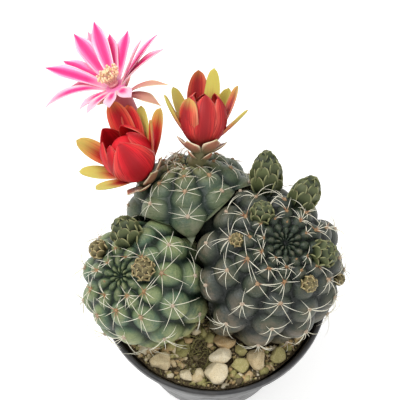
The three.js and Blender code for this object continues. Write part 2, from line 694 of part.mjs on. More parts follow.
// The foot of a flower or a bud is cut to the head that bears it, a hair clear of it.
for (const [name, shape] of Object.entries(FLOWERS)) {
  const frame = standing(vec(...shape.throat), vec(...shape.facing));
  solids[`${name}_tube`] = largest(tubeSolid(shape).subtract(back.skin(HEAD_CLEARANCE)));
  const petals = name === 'bloom_open' ? openPetals(shape) : redPetals(shape);
  solids[`${name}_petals`] = largest(petals).transform(frame);
  if (name === 'bloom_open') solids[`${name}_stamens`] = stamenSolid(seeded(8)).transform(frame);
}
BUDS.forEach((bud, i) => {
  const head = heads.find((one) => one.name === bud.head);
  const rib = (head.ribs * (bud.around * DEG - head.turn)) / (2 * Math.PI);
  const { point, normal } = head.place(rib, bud.down * DEG);
  const solid = budSolid(bud).transform(standing(point, normal.add(vec(...bud.tip))));
  solids[numbered('bud', i)] = largest(solid.subtract(head.skin(HEAD_CLEARANCE)));
});

// Spines come last, so that each can be kept clear of everything else.
const draw = seeded(11);
for (const head of heads) {
  const others = Object.keys(solids).filter((name) => name !== head.name);
  const body = solids[head.name];
  const spines = head.spineSolids(body, others.map((name) => solids[name]), draw);
  solids[head.name] = largest(joined([body, ...spines]));
}

const cactus = new THREE.Group();
for (const [name, solid] of Object.entries(solids)) {
  const look = LOOKS[name] ?? LOOKS[name.split('_')[0]] ?? [HEADS[name].colour, 0.6];
  const [color, roughness] = look;
  const material = new THREE.MeshStandardMaterial({ color, roughness, metalness: 0 });
  const mesh = new THREE.Mesh(geometryOf(solid.simplify(SHORTEST_EDGE)), material);
  mesh.name = name;
  cactus.add(mesh);
}

export default cactus;
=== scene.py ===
# %% [markdown]
# # A chin cactus in a nursery pot
# The real object is a clump of three round cactus heads (Gymnocalycium) in a 9 cm plastic pot of
# gritty soil, with an open pink flower, two half-open red ones and ten scaly buds. Its CAD model is
# the frame: it says where everything is. Here each of its solids gets a finer surface in the same
# place. Nearly every shape is a grid of points that a formula places, all worked out as whole
# arrays in millimetres, and turned into metres only where the mesh is made.

# %% Frame
import bpy
import numpy as np
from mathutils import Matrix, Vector


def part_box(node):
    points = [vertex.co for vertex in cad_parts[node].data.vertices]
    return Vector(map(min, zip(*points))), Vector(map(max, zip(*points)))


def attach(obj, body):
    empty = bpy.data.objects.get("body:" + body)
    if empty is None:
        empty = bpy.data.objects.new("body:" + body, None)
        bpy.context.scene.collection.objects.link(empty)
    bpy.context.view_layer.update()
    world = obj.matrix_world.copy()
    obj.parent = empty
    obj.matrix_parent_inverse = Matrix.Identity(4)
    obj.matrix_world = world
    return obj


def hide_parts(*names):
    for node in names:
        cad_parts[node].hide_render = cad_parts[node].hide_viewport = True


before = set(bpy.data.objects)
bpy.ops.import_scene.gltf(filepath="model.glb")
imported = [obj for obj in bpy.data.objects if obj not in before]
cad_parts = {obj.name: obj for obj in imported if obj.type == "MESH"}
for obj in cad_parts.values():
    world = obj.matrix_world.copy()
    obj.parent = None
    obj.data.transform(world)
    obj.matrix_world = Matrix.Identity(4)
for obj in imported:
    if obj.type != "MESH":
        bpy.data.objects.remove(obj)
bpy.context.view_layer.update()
MM = 0.001

# %% [markdown]
# ## Meshes from grids
# A leaf, a spine, a stone and a whole head are all the same thing: rings of points from one end to
# the other. The first and the last ring shrink to a single point, which closes both ends. Python
# would be slow point by point, so the arrays go into the mesh in one piece. A batch collects many
# such shapes and becomes one mesh with its own attributes, which the materials read.


# %% Grid and batch
def ring_faces(count, rows, columns):
    """Four-cornered faces of `count` tubes: row r joins r + 1, and the last column the first. All
    the corners on the first row are its first point, and so on the last row, which closes both."""
    place = np.arange(rows * columns).reshape(rows, columns)
    place[0], place[-1] = place[0, 0], place[-1, 0]
    after = np.roll(place, -1, axis=1)
    one = np.stack([place[:-1], after[:-1], after[1:], place[1:]], axis=-1).reshape(-1, 4)
    return (one[None] + rows * columns * np.arange(count)[:, None, None]).reshape(-1, 4)


def volume_of(points, faces):
    """Signed volume: the sum over triangles of corner . (corner x corner) / 6."""
    a, b, c, d = (points[faces[:, i]] for i in range(4))
    both = np.einsum("ij,ij->i", a, np.cross(b, c)) + np.einsum("ij,ij->i", a, np.cross(c, d))
    return both.sum() / 6


class Batch:
    """Tubes of points, with a value for each point under each attribute's name."""

    def __init__(self, *names):
        self.names = names
        self.points, self.faces, self.values, self.size = [], [], {name: [] for name in names}, 0

    def add(self, tubes, **values):
        """Adds tubes, an array of tube, ring, column and axis. Each end ring is drawn together. A
        value is one number, or one for each tube, or one for each point."""
        count, rows, columns = tubes.shape[:3]
        tubes = np.array(tubes)
        tubes[:, [0, -1]] = tubes[:, [0, -1]].mean(axis=2, keepdims=True)
        points = tubes.reshape(-1, 3)
        if not np.isfinite(points).all():
            raise ValueError("a point of this shape is not a number")
        faces = ring_faces(count, rows, columns)
        if volume_of(points, faces) < 0:
            faces = faces[:, ::-1]
        self.points.append(points)
        self.faces.append(faces + self.size)
        self.size += len(points)
        for name in self.names:
            value = np.asarray(values.get(name, 0.0))
            value = value[:, None, None] if value.ndim == 1 else value
            self.values[name].append(np.broadcast_to(value, (count, rows, columns)).reshape(-1))

    def make(self, name, finish, replaced=(), slot=None):
        """One mesh object in metres, riding on the root body. A face whose corner repeats the one
        before it is a triangle, and a point that no face uses is left out."""
        used, corners = np.unique(np.concatenate(self.faces), return_inverse=True)
        corners = corners.reshape(-1, 4)
        kept = corners != np.roll(corners, 1, axis=1)
        sides = kept.sum(axis=1)
        mesh = bpy.data.meshes.new(name)
        mesh.vertices.add(len(used))
        mesh.vertices.foreach_set("co", (np.concatenate(self.points)[used] * MM).ravel())
        mesh.loops.add(sides.sum())
        mesh.loops.foreach_set("vertex_index", corners[kept].astype(np.int32))
        mesh.polygons.add(len(corners))
        mesh.polygons.foreach_set("loop_start", (np.cumsum(sides) - sides).astype(np.int32))
        mesh.update(calc_edges=True)
        for key in self.names:
            layer = mesh.attributes.new(key, "FLOAT", "POINT")
            values = np.concatenate(self.values[key])[used]
            layer.data.foreach_set("value", values.astype(np.float32))
        mesh.shade_smooth()
        mesh.materials.append(finish)
        piece = bpy.data.objects.new(name, mesh)
        bpy.context.scene.collection.objects.link(piece)
        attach(piece, "root")
        if replaced:
            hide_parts(*replaced)
        print(f"{name}: {(sides - 2).sum()} triangles")
        return piece


# %% [markdown]
# ## Materials as expressions
# A procedural material is arithmetic on patterns, and arithmetic reads best as arithmetic. The
# class below wraps one socket, so `1 - mask * 0.5` adds its Math nodes by itself. Colours are mixed
# with Mix nodes, since a Math node would turn them grey.


# %% Socket arithmetic
class Value:
    """A number that varies over a surface. Operators on it add Math nodes."""

    def __init__(self, finish, socket):
        self.finish, self.socket = finish, socket

    def math(self, operation, *others):
        """Adds one Math node, with this value first."""
        sockets = dict(enumerate((self, *others)))
        return self.finish.node("Math", {"operation": operation}, sockets).value(0)

    def __add__(self, other):
        return self.math("ADD", other)

    def __mul__(self, other):
        return self.math("MULTIPLY", other)

    def __sub__(self, other):
        return self.math("SUBTRACT", other)

    def __rsub__(self, other):
        return self.finish.number(other).math("SUBTRACT", self)

    __radd__, __rmul__ = __add__, __mul__

    def between(self, low, high):
        """0 below low, 1 above high, and smooth in between."""
        sockets = {0: self, 1: low, 2: high, 3: 0.0, 4: 1.0}
        node = self.finish.node("MapRange", {"interpolation_type": "SMOOTHSTEP"}, sockets)
        return node.value(0)


class Node:
    """A node whose outputs are asked for by name or number."""

    def __init__(self, finish, node):
        self.finish, self.node = finish, node

    def value(self, name):
        """One output as a value."""
        return Value(self.finish, self.node.outputs[name])


# %% Finish
class Finish:
    """A material with one Principled shader."""

    def __init__(self, name, roughness=0.5, **fixed):
        self.material = bpy.data.materials.new(name)
        self.material.use_nodes = True
        self.tree = self.material.node_tree
        self.shader = self.tree.nodes["Principled BSDF"]
        self.feed(self.shader.inputs["Roughness"], roughness)
        for key, number in fixed.items():
            self.feed(self.shader.inputs[key.replace("_", " ")], number)

    def feed(self, socket, value):
        """Links a value to a socket, or sets the socket to a number or a colour."""
        if isinstance(value, Value):
            self.tree.links.new(value.socket, socket)
        elif socket.type == "RGBA":
            socket.default_value = (*value, 1.0)
        else:
            socket.default_value = value

    def node(self, kind, settings=None, sockets=None):
        """Adds any node: its settings, or a ramp's stops, come first, and then its sockets."""
        node = self.tree.nodes.new("ShaderNode" + kind)
        for key, value in (settings or {}).items():
            if key == "stops":
                ramp = node.color_ramp.elements
                while len(ramp) < len(value):
                    ramp.new(1.0)
                for stop, (place, colour) in zip(ramp, value):
                    stop.position, stop.color = place, (*colour, 1.0)
            else:
                setattr(node, key, value)
        for key, value in (sockets or {}).items():
            self.feed(node.inputs[key], value)
        return Node(self, node)

    def number(self, number):
        """A number as a value, so that a varying value can be taken away from it."""
        node = self.node("Value")
        node.node.outputs[0].default_value = number
        return node.value(0)

    def attribute(self, name):
        """The number that a batch holds under this name for each point."""
        return self.node("Attribute", {"attribute_name": name}).value("Fac")

    def place(self):
        """Where a point is, in the piece's own metres."""
        return self.node("TexCoord").value("Object")

    def noise(self, size, detail=3.0, rough=0.55, stretch=None):
        """Noise whose lumps are about `size` mm across."""
        place = self.place()
        if stretch:
            place = self.node("Mapping", None, {"Vector": place, "Scale": stretch}).value(0)
        sockets = {"Vector": place, "Scale": 1 / (size * MM), "Detail": detail, "Roughness": rough}
        return self.node("TexNoise", None, sockets).value(0)

    def noise_at(self, spot, detail):
        """Noise that is stretched on values of the surface's own, which the node `spot` joins."""
        sockets = {"Vector": spot.value(0), "Scale": 1.0, "Detail": float(detail)}
        return self.node("TexNoise", None, sockets).value(0)

    def cells(self, size):
        """How far a point is from the middle of its cell, in cells of about `size` mm."""
        sockets = {"Vector": self.place(), "Scale": 1 / (size * MM)}
        return self.node("TexVoronoi", None, sockets).value("Distance")

    def mix(self, share, first, second):
        """The first colour where share is 0 and the second where it is 1. A Mix node has sockets
        for several kinds of value under the same names, so those for colours go by number."""
        sockets = {0: share, 6: first, 7: second}
        return self.node("Mix", {"data_type": "RGBA"}, sockets).value(2)

    def layers(self, colour, *layers):
        """The colour with others laid over it one after another, each by its own mask."""
        for mask, over in layers:
            colour = self.mix(mask, colour, over)
        return colour

    def ramp(self, share, *stops):
        """The colour at `share` between stops, each a place from 0 to 1 and its colour."""
        return self.node("ValToRGB", {"stops": stops}, {"Fac": share}).value("Color")

    def colour(self, value):
        """Sets the colour of the surface."""
        self.feed(self.shader.inputs["Base Color"], value)

    def rough(self, value):
        """Sets the roughness: 0 is a mirror and 1 is fully matt."""
        self.feed(self.shader.inputs["Roughness"], value)

    def bump(self, height, depth):
        """Relief of `depth` mm where height goes from 0 to 1."""
        sockets = {"Height": height, "Distance": depth * MM, "Strength": 1.0}
        self.feed(self.shader.inputs["Normal"], self.node("Bump", None, sockets).value(0))


print("a finish can:", [name for name in vars(Finish) if not name.startswith("_")])

# %% [markdown]
# ## Small formulas
# Directions are unit vectors, and a flower stands in a frame of its own whose third axis is the way
# that it faces. Every function here works on whole arrays of vectors at once.


# %% Vectors
DEG = np.pi / 180
GOLDEN_ANGLE = 137.5 * DEG
UP, RIGHT = np.array([0, 0, 1.0]), np.array([1.0, 0, 0])


def unit(v):
    """Vectors divided by their own length."""
    return v / np.linalg.norm(v, axis=-1, keepdims=True)


def full_turn(count):
    """`count` angles, spread evenly over a full turn."""
    return 2 * np.pi * np.arange(count) / count


def circle(turn):
    """Unit vectors round the Z axis: (cos, sin, 0) of the angles."""
    return np.stack([np.cos(turn), np.sin(turn), 0 * turn], axis=-1)


def smooth(low, high, x):
    """3 t^2 - 2 t^3, where t runs from 0 at low to 1 at high."""
    t = np.clip((x - low) / (high - low), 0, 1)
    return t * t * (3 - 2 * t)


def dot(a, b):
    """Sums of products over the last axis, which stays as an axis of one."""
    return (a * b).sum(axis=-1, keepdims=True)


def turned_about(v, pivot, angle):
    """v cos a + (k x v) sin a + k (k . v)(1 - cos a), for the unit pivot k."""
    c, s = np.cos(angle)[..., None], np.sin(angle)[..., None]
    return v * c + np.cross(pivot, v) * s + pivot * dot(v, pivot) * (1 - c)


def standing(facing):
    """Rows are the axes of a frame whose third axis is `facing`."""
    axis = unit(np.array(facing, float))
    helper = UP if abs(axis[2]) < 0.9 else RIGHT
    right = unit(np.cross(helper, axis))
    return np.array([right, np.cross(axis, right), axis])


quarter = turned_about(RIGHT, UP, np.array(90 * DEG))
print("RIGHT, turned a quarter about UP:", np.round(quarter, 3).tolist())

# %% [markdown]
# ## Tubes and leaves
# A spine or a stamen is a thin tube along a path. A petal, a sepal or a bud's scale is a tube too,
# pressed flat: its section is a lens, wide across and thin through, and it bends as it goes from
# its root to its tip. One formula makes them all, so a whole ring of petals is one array.


# %% Tubes
def doubled(t):
    """t with its first and its last value twice, for a tube whose flat ends are closed."""
    return np.concatenate([t[:1], t, t[-1:]])


def tubes(paths, radii, across, sides):
    """Rings of `sides` points round each path, square to it, with `across` as one of their axes.
    A path's first two points may coincide, and so may its last two, so each end takes the direction
    next to it. The radii and `across` may be given once for all the paths."""
    radii = np.broadcast_to(radii, paths.shape[:2])
    across = np.broadcast_to(across, (len(paths), 3))[:, None]
    along = np.gradient(paths, axis=1)
    along[:, 0], along[:, -1] = along[:, 1], along[:, -2]
    along = unit(along)
    across = unit(across - along * dot(across, along))
    other = np.cross(along, across)
    turn = full_turn(sides)[:, None]
    ring = across[:, :, None] * np.cos(turn) + other[:, :, None] * np.sin(turn)
    return paths[:, :, None] + ring * radii[:, :, None, None]


print("places on a short tube:", doubled(np.linspace(0, 1, 3)).tolist())


# %% Leaf outlines
def widening(s, root, full, at):
    """From `root` at 0 to `full` at `at`, by a quarter of a sine wave, and level from there."""
    return root + (full - root) * np.sin(np.pi / 2 * np.minimum(s / at, 1))


def pointed(s):
    """Narrow at the root, widest at 0.72 of the way, then drawn in to a point."""
    return widening(s, 0.34, 1, 0.72) * (1 - smooth(0.6, 1.04, s))


def lance(s):
    """A long petal: widest at 0.68 of the way, and pointed only near its tip."""
    return widening(s, 0.34, 1.08, 0.68) * (1 - smooth(0.68, 1.14, s)) * (1 - s**9) ** 0.8


def rounded(s):
    """Broad, with a blunt tip: a little narrower at the root."""
    return widening(s, 0.5, 1, 0.6) * (1 - s**5) ** 0.6


def spatulate(s):
    """Widest at 0.75 of the way, with a round tip."""
    return (0.42 + 0.58 * widening(s, 0, 1, 0.75) ** 1.3) * (1 - s**7) ** 0.6


def wrapped(s):
    """Widest in the middle and drawn in above, to close over the top of a bud."""
    return widening(s, 0.55, 1, 0.5) * (1 - s**4) ** 0.8


def scaly(s):
    """Short and triangular, broad at the root."""
    return (0.86 + 0.14 * np.sin(np.pi * s)) * (1 - s**2.2) ** 0.8


for outline in (pointed, lance, rounded, spatulate, wrapped, scaly):
    print(f"{outline.__name__} widths:", np.round(outline(np.linspace(0, 1, 5)), 2).tolist())


# %% Leaves
def leaves(turn, radius, height, length, width, open_, close, outline, thick, cup, ripple=0.0,
           rows=16, columns=14):
    """Leaves round the Z axis. Each leaves the axis at `open_` degrees and its tip stands at
    `close` degrees. A section is side * h cos(f) + face * (cup h cos(f)^2 + t/2 sin(f)), with h the
    half width and t the thickness there. `ripple` waves the edges."""
    turn, radius, height, length, width, open_, close = (
        np.asarray(a, float).reshape(-1, 1) * np.ones((len(np.atleast_1d(turn)), 1))
        for a in (turn, radius, height, length, width, open_, close))
    s = np.concatenate([[0], np.linspace(0, 1, rows)])
    angle = (open_ + (close - open_) * s) * DEG
    step = np.diff(s, prepend=0)
    middle = (angle + np.roll(angle, 1, axis=1)) / 2
    out = radius + np.cumsum(length * np.sin(middle) * step, axis=1)
    rise = height + np.cumsum(length * np.cos(middle) * step, axis=1)
    radial, side = circle(turn), circle(turn + np.pi / 2)
    centre = radial * out[..., None] + UP * rise[..., None]
    face = radial * -np.cos(angle)[..., None] + UP * np.sin(angle)[..., None]
    after_root = np.arange(rows + 1) > 0
    half = width / 2 * outline(s) * after_root
    thin = thick / 2 * after_root * np.sqrt(1 - s**6)
    x, y = np.cos(full_turn(columns)), np.sin(full_turn(columns))
    wave = ripple * np.sin(9 * s[:, None] + 3 * turn[..., None] + 2 * x) * x**2
    lift = half[..., None] * (cup * x**2 + wave) + thin[:, None] * y
    points = centre[:, :, None] + side[:, :, None] * (half[..., None] * x)[..., None]
    points = points + face[:, :, None] * lift[..., None]
    return points, np.broadcast_to(x, lift.shape), np.broadcast_to(s[:, None], lift.shape)


trial = leaves(turn=0, radius=3, height=0, length=20, width=6, open_=40, close=80,
               outline=pointed, thick=1, cup=0.2)[0]
print("a leaf 20 mm long ends at:", np.round(trial[0, -1].mean(axis=0), 1).tolist())

# %% [markdown]
# ## Heads
# A head is an egg-like body whose crown leans one way and whose buried end may lean another. Ribs
# run down from the crown, and each is notched into chins: the swellings under the areoles, which
# give this cactus its name. Each rib's chins lie a part of a chin lower than the last rib's, so
# they form a lattice. At each point the surface is the higher of the two nearest ribs, so the
# grooves between them zigzag as on the plant. The sizes are the CAD model's own.

# %% Head sizes
# The relief against the radius, and how far along a chin its areole and its top are, as shares.
RELIEF, AREOLE, CHIN_TOP = 0.215, 0.3, 0.46
WAIST = 70 * DEG
BEND_FROM, BEND_TO = 75 * DEG, 140 * DEG
HEAD_FOOT = 65.5
# The lowest chin against the highest, and the factors of the sine that picks a chin's height.
LOWEST_CHIN = 0.8
CHANCE_ROW, CHANCE_RIB, CHANCE_SIZE = 78.2, 12.99, 437.6
# Lean and foot are the x and y of the unit vectors to the crown and to the buried end. Above and
# below are the egg's half heights against its radius. Step is how far a rib's chins lie below the
# last rib's, in chins over the number of ribs. Turn and start place the first rib and its first
# chin. Spread, crown and young set how many chins there are, and how they are packed at the crown.
# Rib_share is the part of the relief that the rib keeps between its chins.
HEAD_SIZES = {
    "left": dict(centre=(-27.1, -6.1, 94.5), lean=(-0.448, -0.169), foot=(-0.58, -0.12),
                 radius=20.8, above=0.84, below=1.5, ribs=11, step=5, turn=4.582, start=0.409,
                 spread=2.916, crown=0.9, rib_share=0.32, young=(1.7, 0.17)),
    "right": dict(centre=(20.0, 0.5, 97), lean=(0.264, 0.009), foot=(0.264, 0.009),
                  radius=25.2, above=0.9, below=1.6, ribs=12, step=5, turn=3.096, start=0.666,
                  spread=4.291, crown=0.858, rib_share=0.32, young=(2.6, 0.26)),
    "back": dict(centre=(-7.7, 24.5, 92.5), lean=(-0.169, 0.654), foot=(-0.08, 0.33),
                 radius=22.2, above=0.92, below=1.8, ribs=9, step=4, turn=3.983, start=0.125,
                 spread=3.785, crown=0.511, rib_share=0.54, young=(1.2, 0.17)),
}
print("eggs, mm across:", {name: 2 * sizes["radius"] for name, sizes in HEAD_SIZES.items()})


# %% Head form
class Head:
    """A head in its own coordinates: a rib number, and `down`, the angle from the crown."""

    def __init__(self, centre, lean, foot, **sizes):
        self.__dict__.update(sizes)
        self.middle = np.array(centre)
        self.axis, end = (np.array([x, y, np.sqrt(1 - x * x - y * y)]) for x, y in (lean, foot))
        pivot = np.cross(self.axis, end)
        self.bend = np.arcsin(min(1, np.linalg.norm(pivot)))
        self.pivot = unit(pivot) if self.bend > 1e-6 else RIGHT
        self.across = unit(RIGHT - self.axis * self.axis[0])
        self.other = np.cross(self.axis, self.across)
        self.downs = np.linspace(0, np.pi, 3000)

    def along(self, down):
        """Chins counted down a rib: spread ln(1 + down / crown), then evenly below the waist.
        The last term packs small young chins into the crown."""
        upper = np.minimum(down, WAIST)
        lower = (down - upper) / (WAIST + self.crown)
        young = self.young[0] * np.exp(-down / self.young[1])
        return self.spread * (np.log(1 + upper / self.crown) + lower) - young

    def down_of(self, along):
        """The other way round: the `down` at which so many chins are counted, from a table."""
        return np.interp(along, self.along(self.downs), self.downs)

    def swell(self, down):
        """What the relief is a share of, in mm: the radius, less at the crown and at the foot."""
        growth = np.minimum(1, (down + self.crown) / (np.pi / 2 + self.crown))
        return self.radius * growth * (1 - 0.8 * smooth(115 * DEG, 150 * DEG, down))

    def bend_at(self, down):
        """How far the axis has turned from the crown's lean to the foot's."""
        return self.bend * smooth(BEND_FROM, BEND_TO, down)

    def chins(self, rib, down):
        """The higher of the two nearest ribs. A rib is 1 - 0.9 |a|^2.4 high at a half widths from
        its crest. A chin on it is a dome, (1 - r^2.2)^0.8 high, with r^2 = (a / 1.12)^2 + 0.95 u^2.
        Here u goes along the rib, from -1 at the notch above to 1 at the notch below. Domes are
        wider than their rib, so the grooves between them zigzag. Each chin has a height of its own,
        by a sine that is large enough for its fraction to look like chance."""
        best = np.zeros(np.broadcast(rib, down).shape)
        for side in (0, 1):
            near = np.floor(rib) + side
            phase = self.along(down) - near * self.step / self.ribs - self.start + AREOLE
            q = phase - np.floor(phase) - CHIN_TOP
            u = q / np.where(q < 0, CHIN_TOP, 1 - CHIN_TOP)
            turns = np.floor(near / self.ribs)
            row, own_rib = np.floor(phase) + self.step * turns, near - turns * self.ribs
            wild = np.abs(np.sin(CHANCE_ROW * row + CHANCE_RIB * own_rib)) * CHANCE_SIZE
            a = np.abs(2 * (rib - near))
            crest = np.clip(1 - 0.9 * a**2.4, 0, 1)
            dome = np.clip(1 - ((a / 1.12) ** 2 + 0.95 * u**2) ** 1.1, 0, 1) ** 0.8
            dome = dome * (LOWEST_CHIN + (1 - LOWEST_CHIN) * np.modf(wild)[0])
            best = np.maximum(best, self.rib_share * crest + (1 - self.rib_share) * dome)
        return best * smooth(0.0, 0.1, down)

    def place(self, rib, down, chins=None):
        """Points of the skin and the directions out of it: egg + normal (relief - dimple)."""
        rib, down = np.broadcast_arrays(np.asarray(rib, float), np.asarray(down, float))
        chins = self.chins(rib, down) if chins is None else chins
        relief = self.swell(down) * RELIEF * chins
        dimple = 0.07 * self.radius * np.exp(-((down / 0.3) ** 2))
        angle = 2 * np.pi * rib / self.ribs + self.turn
        height = np.where(np.cos(down) > 0, self.above, self.below)[..., None]
        radial = self.across * np.cos(angle)[..., None] + self.other * np.sin(angle)[..., None]
        s, c = np.sin(down)[..., None], np.cos(down)[..., None]
        normal = unit(radial * s + self.axis * c / height)
        point = self.radius * (radial * s + self.axis * height * c)
        point = point + normal * (relief - dimple)[..., None]
        bend = self.bend_at(down)
        point = turned_about(point, self.pivot, bend) + self.middle
        return point, turned_about(normal, self.pivot, bend)

    def level(self, points):
        """How far points stand outside the plain egg, how far its chins reach there, and the factor
        for a distance square to the egg. A point's own `down` tells how far to bend it back, so
        three rounds of guessing find both."""
        v = points - self.middle
        down = np.arccos(np.clip(unit(v) @ self.axis, -1, 1))
        for _ in range(3):
            w = turned_about(v, self.pivot, -self.bend_at(down))
            axial = w @ self.axis
            ring = np.linalg.norm(w - self.axis * axial[..., None], axis=-1)
            height = np.where(axial > 0, self.above, self.below)
            down = np.arctan2(ring, axial / height)
        reach = RELIEF * self.swell(down)
        slant = np.sqrt(np.sin(down) ** 2 + (np.cos(down) / height) ** 2)
        return np.hypot(ring, axial / height) - self.radius, reach, slant

    def pushed_out(self, points, clearance=0.45):
        """Points inside this head move straight out from its middle until they clear it."""
        level, reach, slant = self.level(points)
        target = (reach + clearance) * slant
        factor = np.maximum(1, (self.radius + target) / (self.radius + level))
        return self.middle + (points - self.middle) * factor[..., None]

    def clears(self, points, clearance):
        """True where points are further than `clearance` outside the tallest chins."""
        level, reach, slant = self.level(points)
        return level > (reach + clearance) * slant


heads = {name: Head(**sizes) for name, sizes in HEAD_SIZES.items()}
print("chin rows to the waist:", {n: round(float(h.along(WAIST)), 1) for n, h in heads.items()})

# %% [markdown]
# ## Where the pieces press together
# The three heads are crowded, so they flatten against each other. The left head keeps its form, the
# right one gives way to it, and the back one to both. All of them also keep clear of the pot's rim.

# %% Pot sizes and pressing
POT_HEIGHT, RIM_RADIUS, RIM_WIDTH, LIP_HEIGHT = 76, 45, 1.8, 4
FOOT_RADIUS, WALL, FLOOR = 31, 1.2, 1.6
SOIL_LEVEL = 71
# The heads that each head gives way to.
YIELDS_TO = {"left": [], "right": ["left"], "back": ["left", "right"]}


def inner_wall(z):
    """The pot's inside radius, a straight taper from its foot to its rim."""
    foot = FOOT_RADIUS - WALL
    return foot + (z - FLOOR) * (RIM_RADIUS - RIM_WIDTH - foot) / (POT_HEIGHT - FLOOR)


def clear_of_rim(points, air=0.6, around=4):
    """Points in the rim, or `around` it, move inwards or up, whichever is nearer."""
    x, y, z = np.moveaxis(points, -1, 0)
    out = np.hypot(x, y)
    wall = inner_wall(np.minimum(z, POT_HEIGHT)) - air
    inwards, upwards = out - wall, POT_HEIGHT + air - z
    caught = (inwards > 0) & (upwards > 0) & (out < RIM_RADIUS + around)
    shrink = np.where(caught & (inwards <= upwards), wall / np.maximum(out, 1e-9), 1)
    z = np.where(caught & (inwards > upwards), POT_HEIGHT + air, z)
    return np.stack([x * shrink, y * shrink, z], axis=-1)


def settled(name, points):
    """A head's points after it gives way to its neighbours, the rim and its flat foot."""
    for other in YIELDS_TO[name]:
        points = heads[other].pushed_out(points)
    points = clear_of_rim(points)
    points[..., 2] = np.maximum(points[..., 2], HEAD_FOOT)
    return points


print("the pot's inside radius at the soil, mm:", round(inner_wall(SOIL_LEVEL), 2))

# %% [markdown]
# ## The skin of a cactus
# The skin is matt, with a fine grain of pale dots. It is darker and greener in the grooves, which
# is painted shade where little light reaches. The tops of the chins are painted paler and greyer as
# a painted highlight, and the lower sides are painted paler as painted light from the bright floor.
# On the right head it has a purple-brown tan. The mesh carries two values for this: how high a
# point stands on its chin, and how far down the head it is.


# %% Skin material
def skin_finish(name, groove_shade, chin, shade, tan, crown, pale):
    """Each colour goes over the last one by its own mask: shade in broad patches, tan on the chins'
    tops, the crown's own colour, and pale: lower down as painted light from the bright floor, in
    dots and in grain, and on the chins' tops as a painted highlight. The groove colour comes last:
    painted shade, dark where the chins are low, and it also darkens the wrinkles as painted shade
    in their creases. Wrinkles run round the head, as noise that changes fast with `down`."""
    paint = Finish(name, Specular_IOR_Level=0.45)
    height, down = paint.attribute("chin"), paint.attribute("down")
    patch, broad = paint.noise(4.5, detail=5, rough=0.65), paint.noise(11.0, detail=2)
    fine = paint.noise(0.7, detail=2)
    sockets = {"X": down * 75, "Y": height * 1.5, "Z": broad * 6}
    wrinkles = paint.noise_at(paint.node("CombineXYZ", None, sockets), detail=2)
    dots = 1 - paint.cells(0.55).between(0.1, 0.32)
    colour = paint.layers(chin,
                          (broad.between(0.4, 0.62), shade),
                          (height * down.between(0.25, 0.5) * patch.between(0.4, 0.62), tan),
                          ((1 - down.between(0.08, 0.25)) * 0.9, crown),
                          # painted light: the lower sides paler, as if lit from the bright floor
                          (down.between(0.45, 0.7) * patch.between(0.3, 0.6) * 0.7, pale),
                          (fine.between(0.35, 0.7) * 0.2 * height, pale),
                          (dots * height * 0.3, pale),
                          # painted highlight: the tops of the chins paler
                          (height.between(0.55, 0.95) * patch.between(0.35, 0.65) * 0.3, pale),
                          # painted shade in the creases of the wrinkles, in the groove colour
                          (wrinkles.between(0.5, 0.7) * 0.16, groove_shade))
    # painted shade: the groove colour where the chins are low
    paint.colour(paint.mix((height + patch * 0.3 - 0.15).between(0.12, 0.72), groove_shade, colour))
    paint.rough(0.36 + fine * 0.22 + patch * 0.1 - height * 0.06)
    paint.bump(fine * 0.4 + patch * 1.4 + wrinkles * 0.8 - dots * 0.2, 0.32)
    return paint.material


SKINS = {
    "left": skin_finish("left head skin", groove_shade=(0.004, 0.014, 0.006), chin=(0.125, 0.18, 0.076),
                        shade=(0.055, 0.115, 0.068), tan=(0.2, 0.23, 0.11),
                        crown=(0.025, 0.055, 0.02), pale=(0.45, 0.44, 0.2)),
    "right": skin_finish("right head skin", groove_shade=(0.002, 0.005, 0.003),
                         chin=(0.029, 0.044, 0.025), shade=(0.024, 0.036, 0.03),
                         tan=(0.115, 0.088, 0.066), crown=(0.006, 0.022, 0.008),
                         pale=(0.175, 0.145, 0.088)),
    "back": skin_finish("back head skin", groove_shade=(0.004, 0.014, 0.008), chin=(0.067, 0.098, 0.045),
                        shade=(0.038, 0.069, 0.042), tan=(0.125, 0.12, 0.085),
                        crown=(0.16, 0.165, 0.065), pale=(0.21, 0.22, 0.11)),
}
print("skins:", [skin.name for skin in SKINS.values()])


# %% Skin meshes
def skin(name, columns=18, rows=190):
    """A head's whole surface as one tube from crown to foot, with `columns` points to a rib."""
    head = heads[name]
    rib = np.arange(head.ribs * columns) / columns
    down = np.linspace(0, np.pi, rows)[:, None]
    chins = head.chins(rib, down)
    points, _ = head.place(rib, down, chins=chins)
    batch = Batch("chin", "down")
    batch.add(settled(name, points)[None], chin=chins[None], down=(down / np.pi)[None])
    batch.make(f"skin_{name}", SKINS[name], [f"head_{name}"], f"head_{name}")


for name in heads:
    skin(name)

# %% [markdown]
# ## The pot
# A nursery pot is a thin tapered wall with a lip that stiffens its rim, moulded in dark plastic, so
# it is one profile turned about its axis. Its drain holes are cut with a Boolean modifier, which is
# applied at once. Soil dust and fine scratches make the plastic uneven in gloss.

# %% Pot
def lathe(profile, sides=144):
    """A closed tube of rings about Z, from [radius, height] points that begin and end at 0."""
    profile = np.array(profile, float)[:, :, None]
    return (circle(full_turn(sides)) * profile[:, :1] + UP * profile[:, 1:])[None]


def rounded_corner(middle, radius, start, end, steps=5):
    """Points of an arc in the profile, from one angle to another, in degrees."""
    angle = np.linspace(start, end, steps) * DEG
    return list(np.array(middle) + radius * circle(angle)[:, :2])


def pot_finish():
    """Dark plastic with dust in patches, and scratches, as noise that is stretched sideways."""
    paint = Finish("pot plastic", Specular_IOR_Level=0.45)
    dust = paint.noise(7.0, detail=5, rough=0.65).between(0.42, 0.75)
    scratch = paint.noise(1.2, detail=3, stretch=(0.3, 0.3, 5.0)).between(0.5, 0.8)
    paint.colour(paint.layers((0.022, 0.022, 0.024), (dust * 0.5, (0.075, 0.068, 0.06)),
                              (scratch * 0.25, (0.12, 0.12, 0.12))))
    paint.rough(0.36 + dust * 0.28 + scratch * 0.1)
    paint.bump(scratch * 0.3 + dust * 0.4, 0.06)
    return paint.material


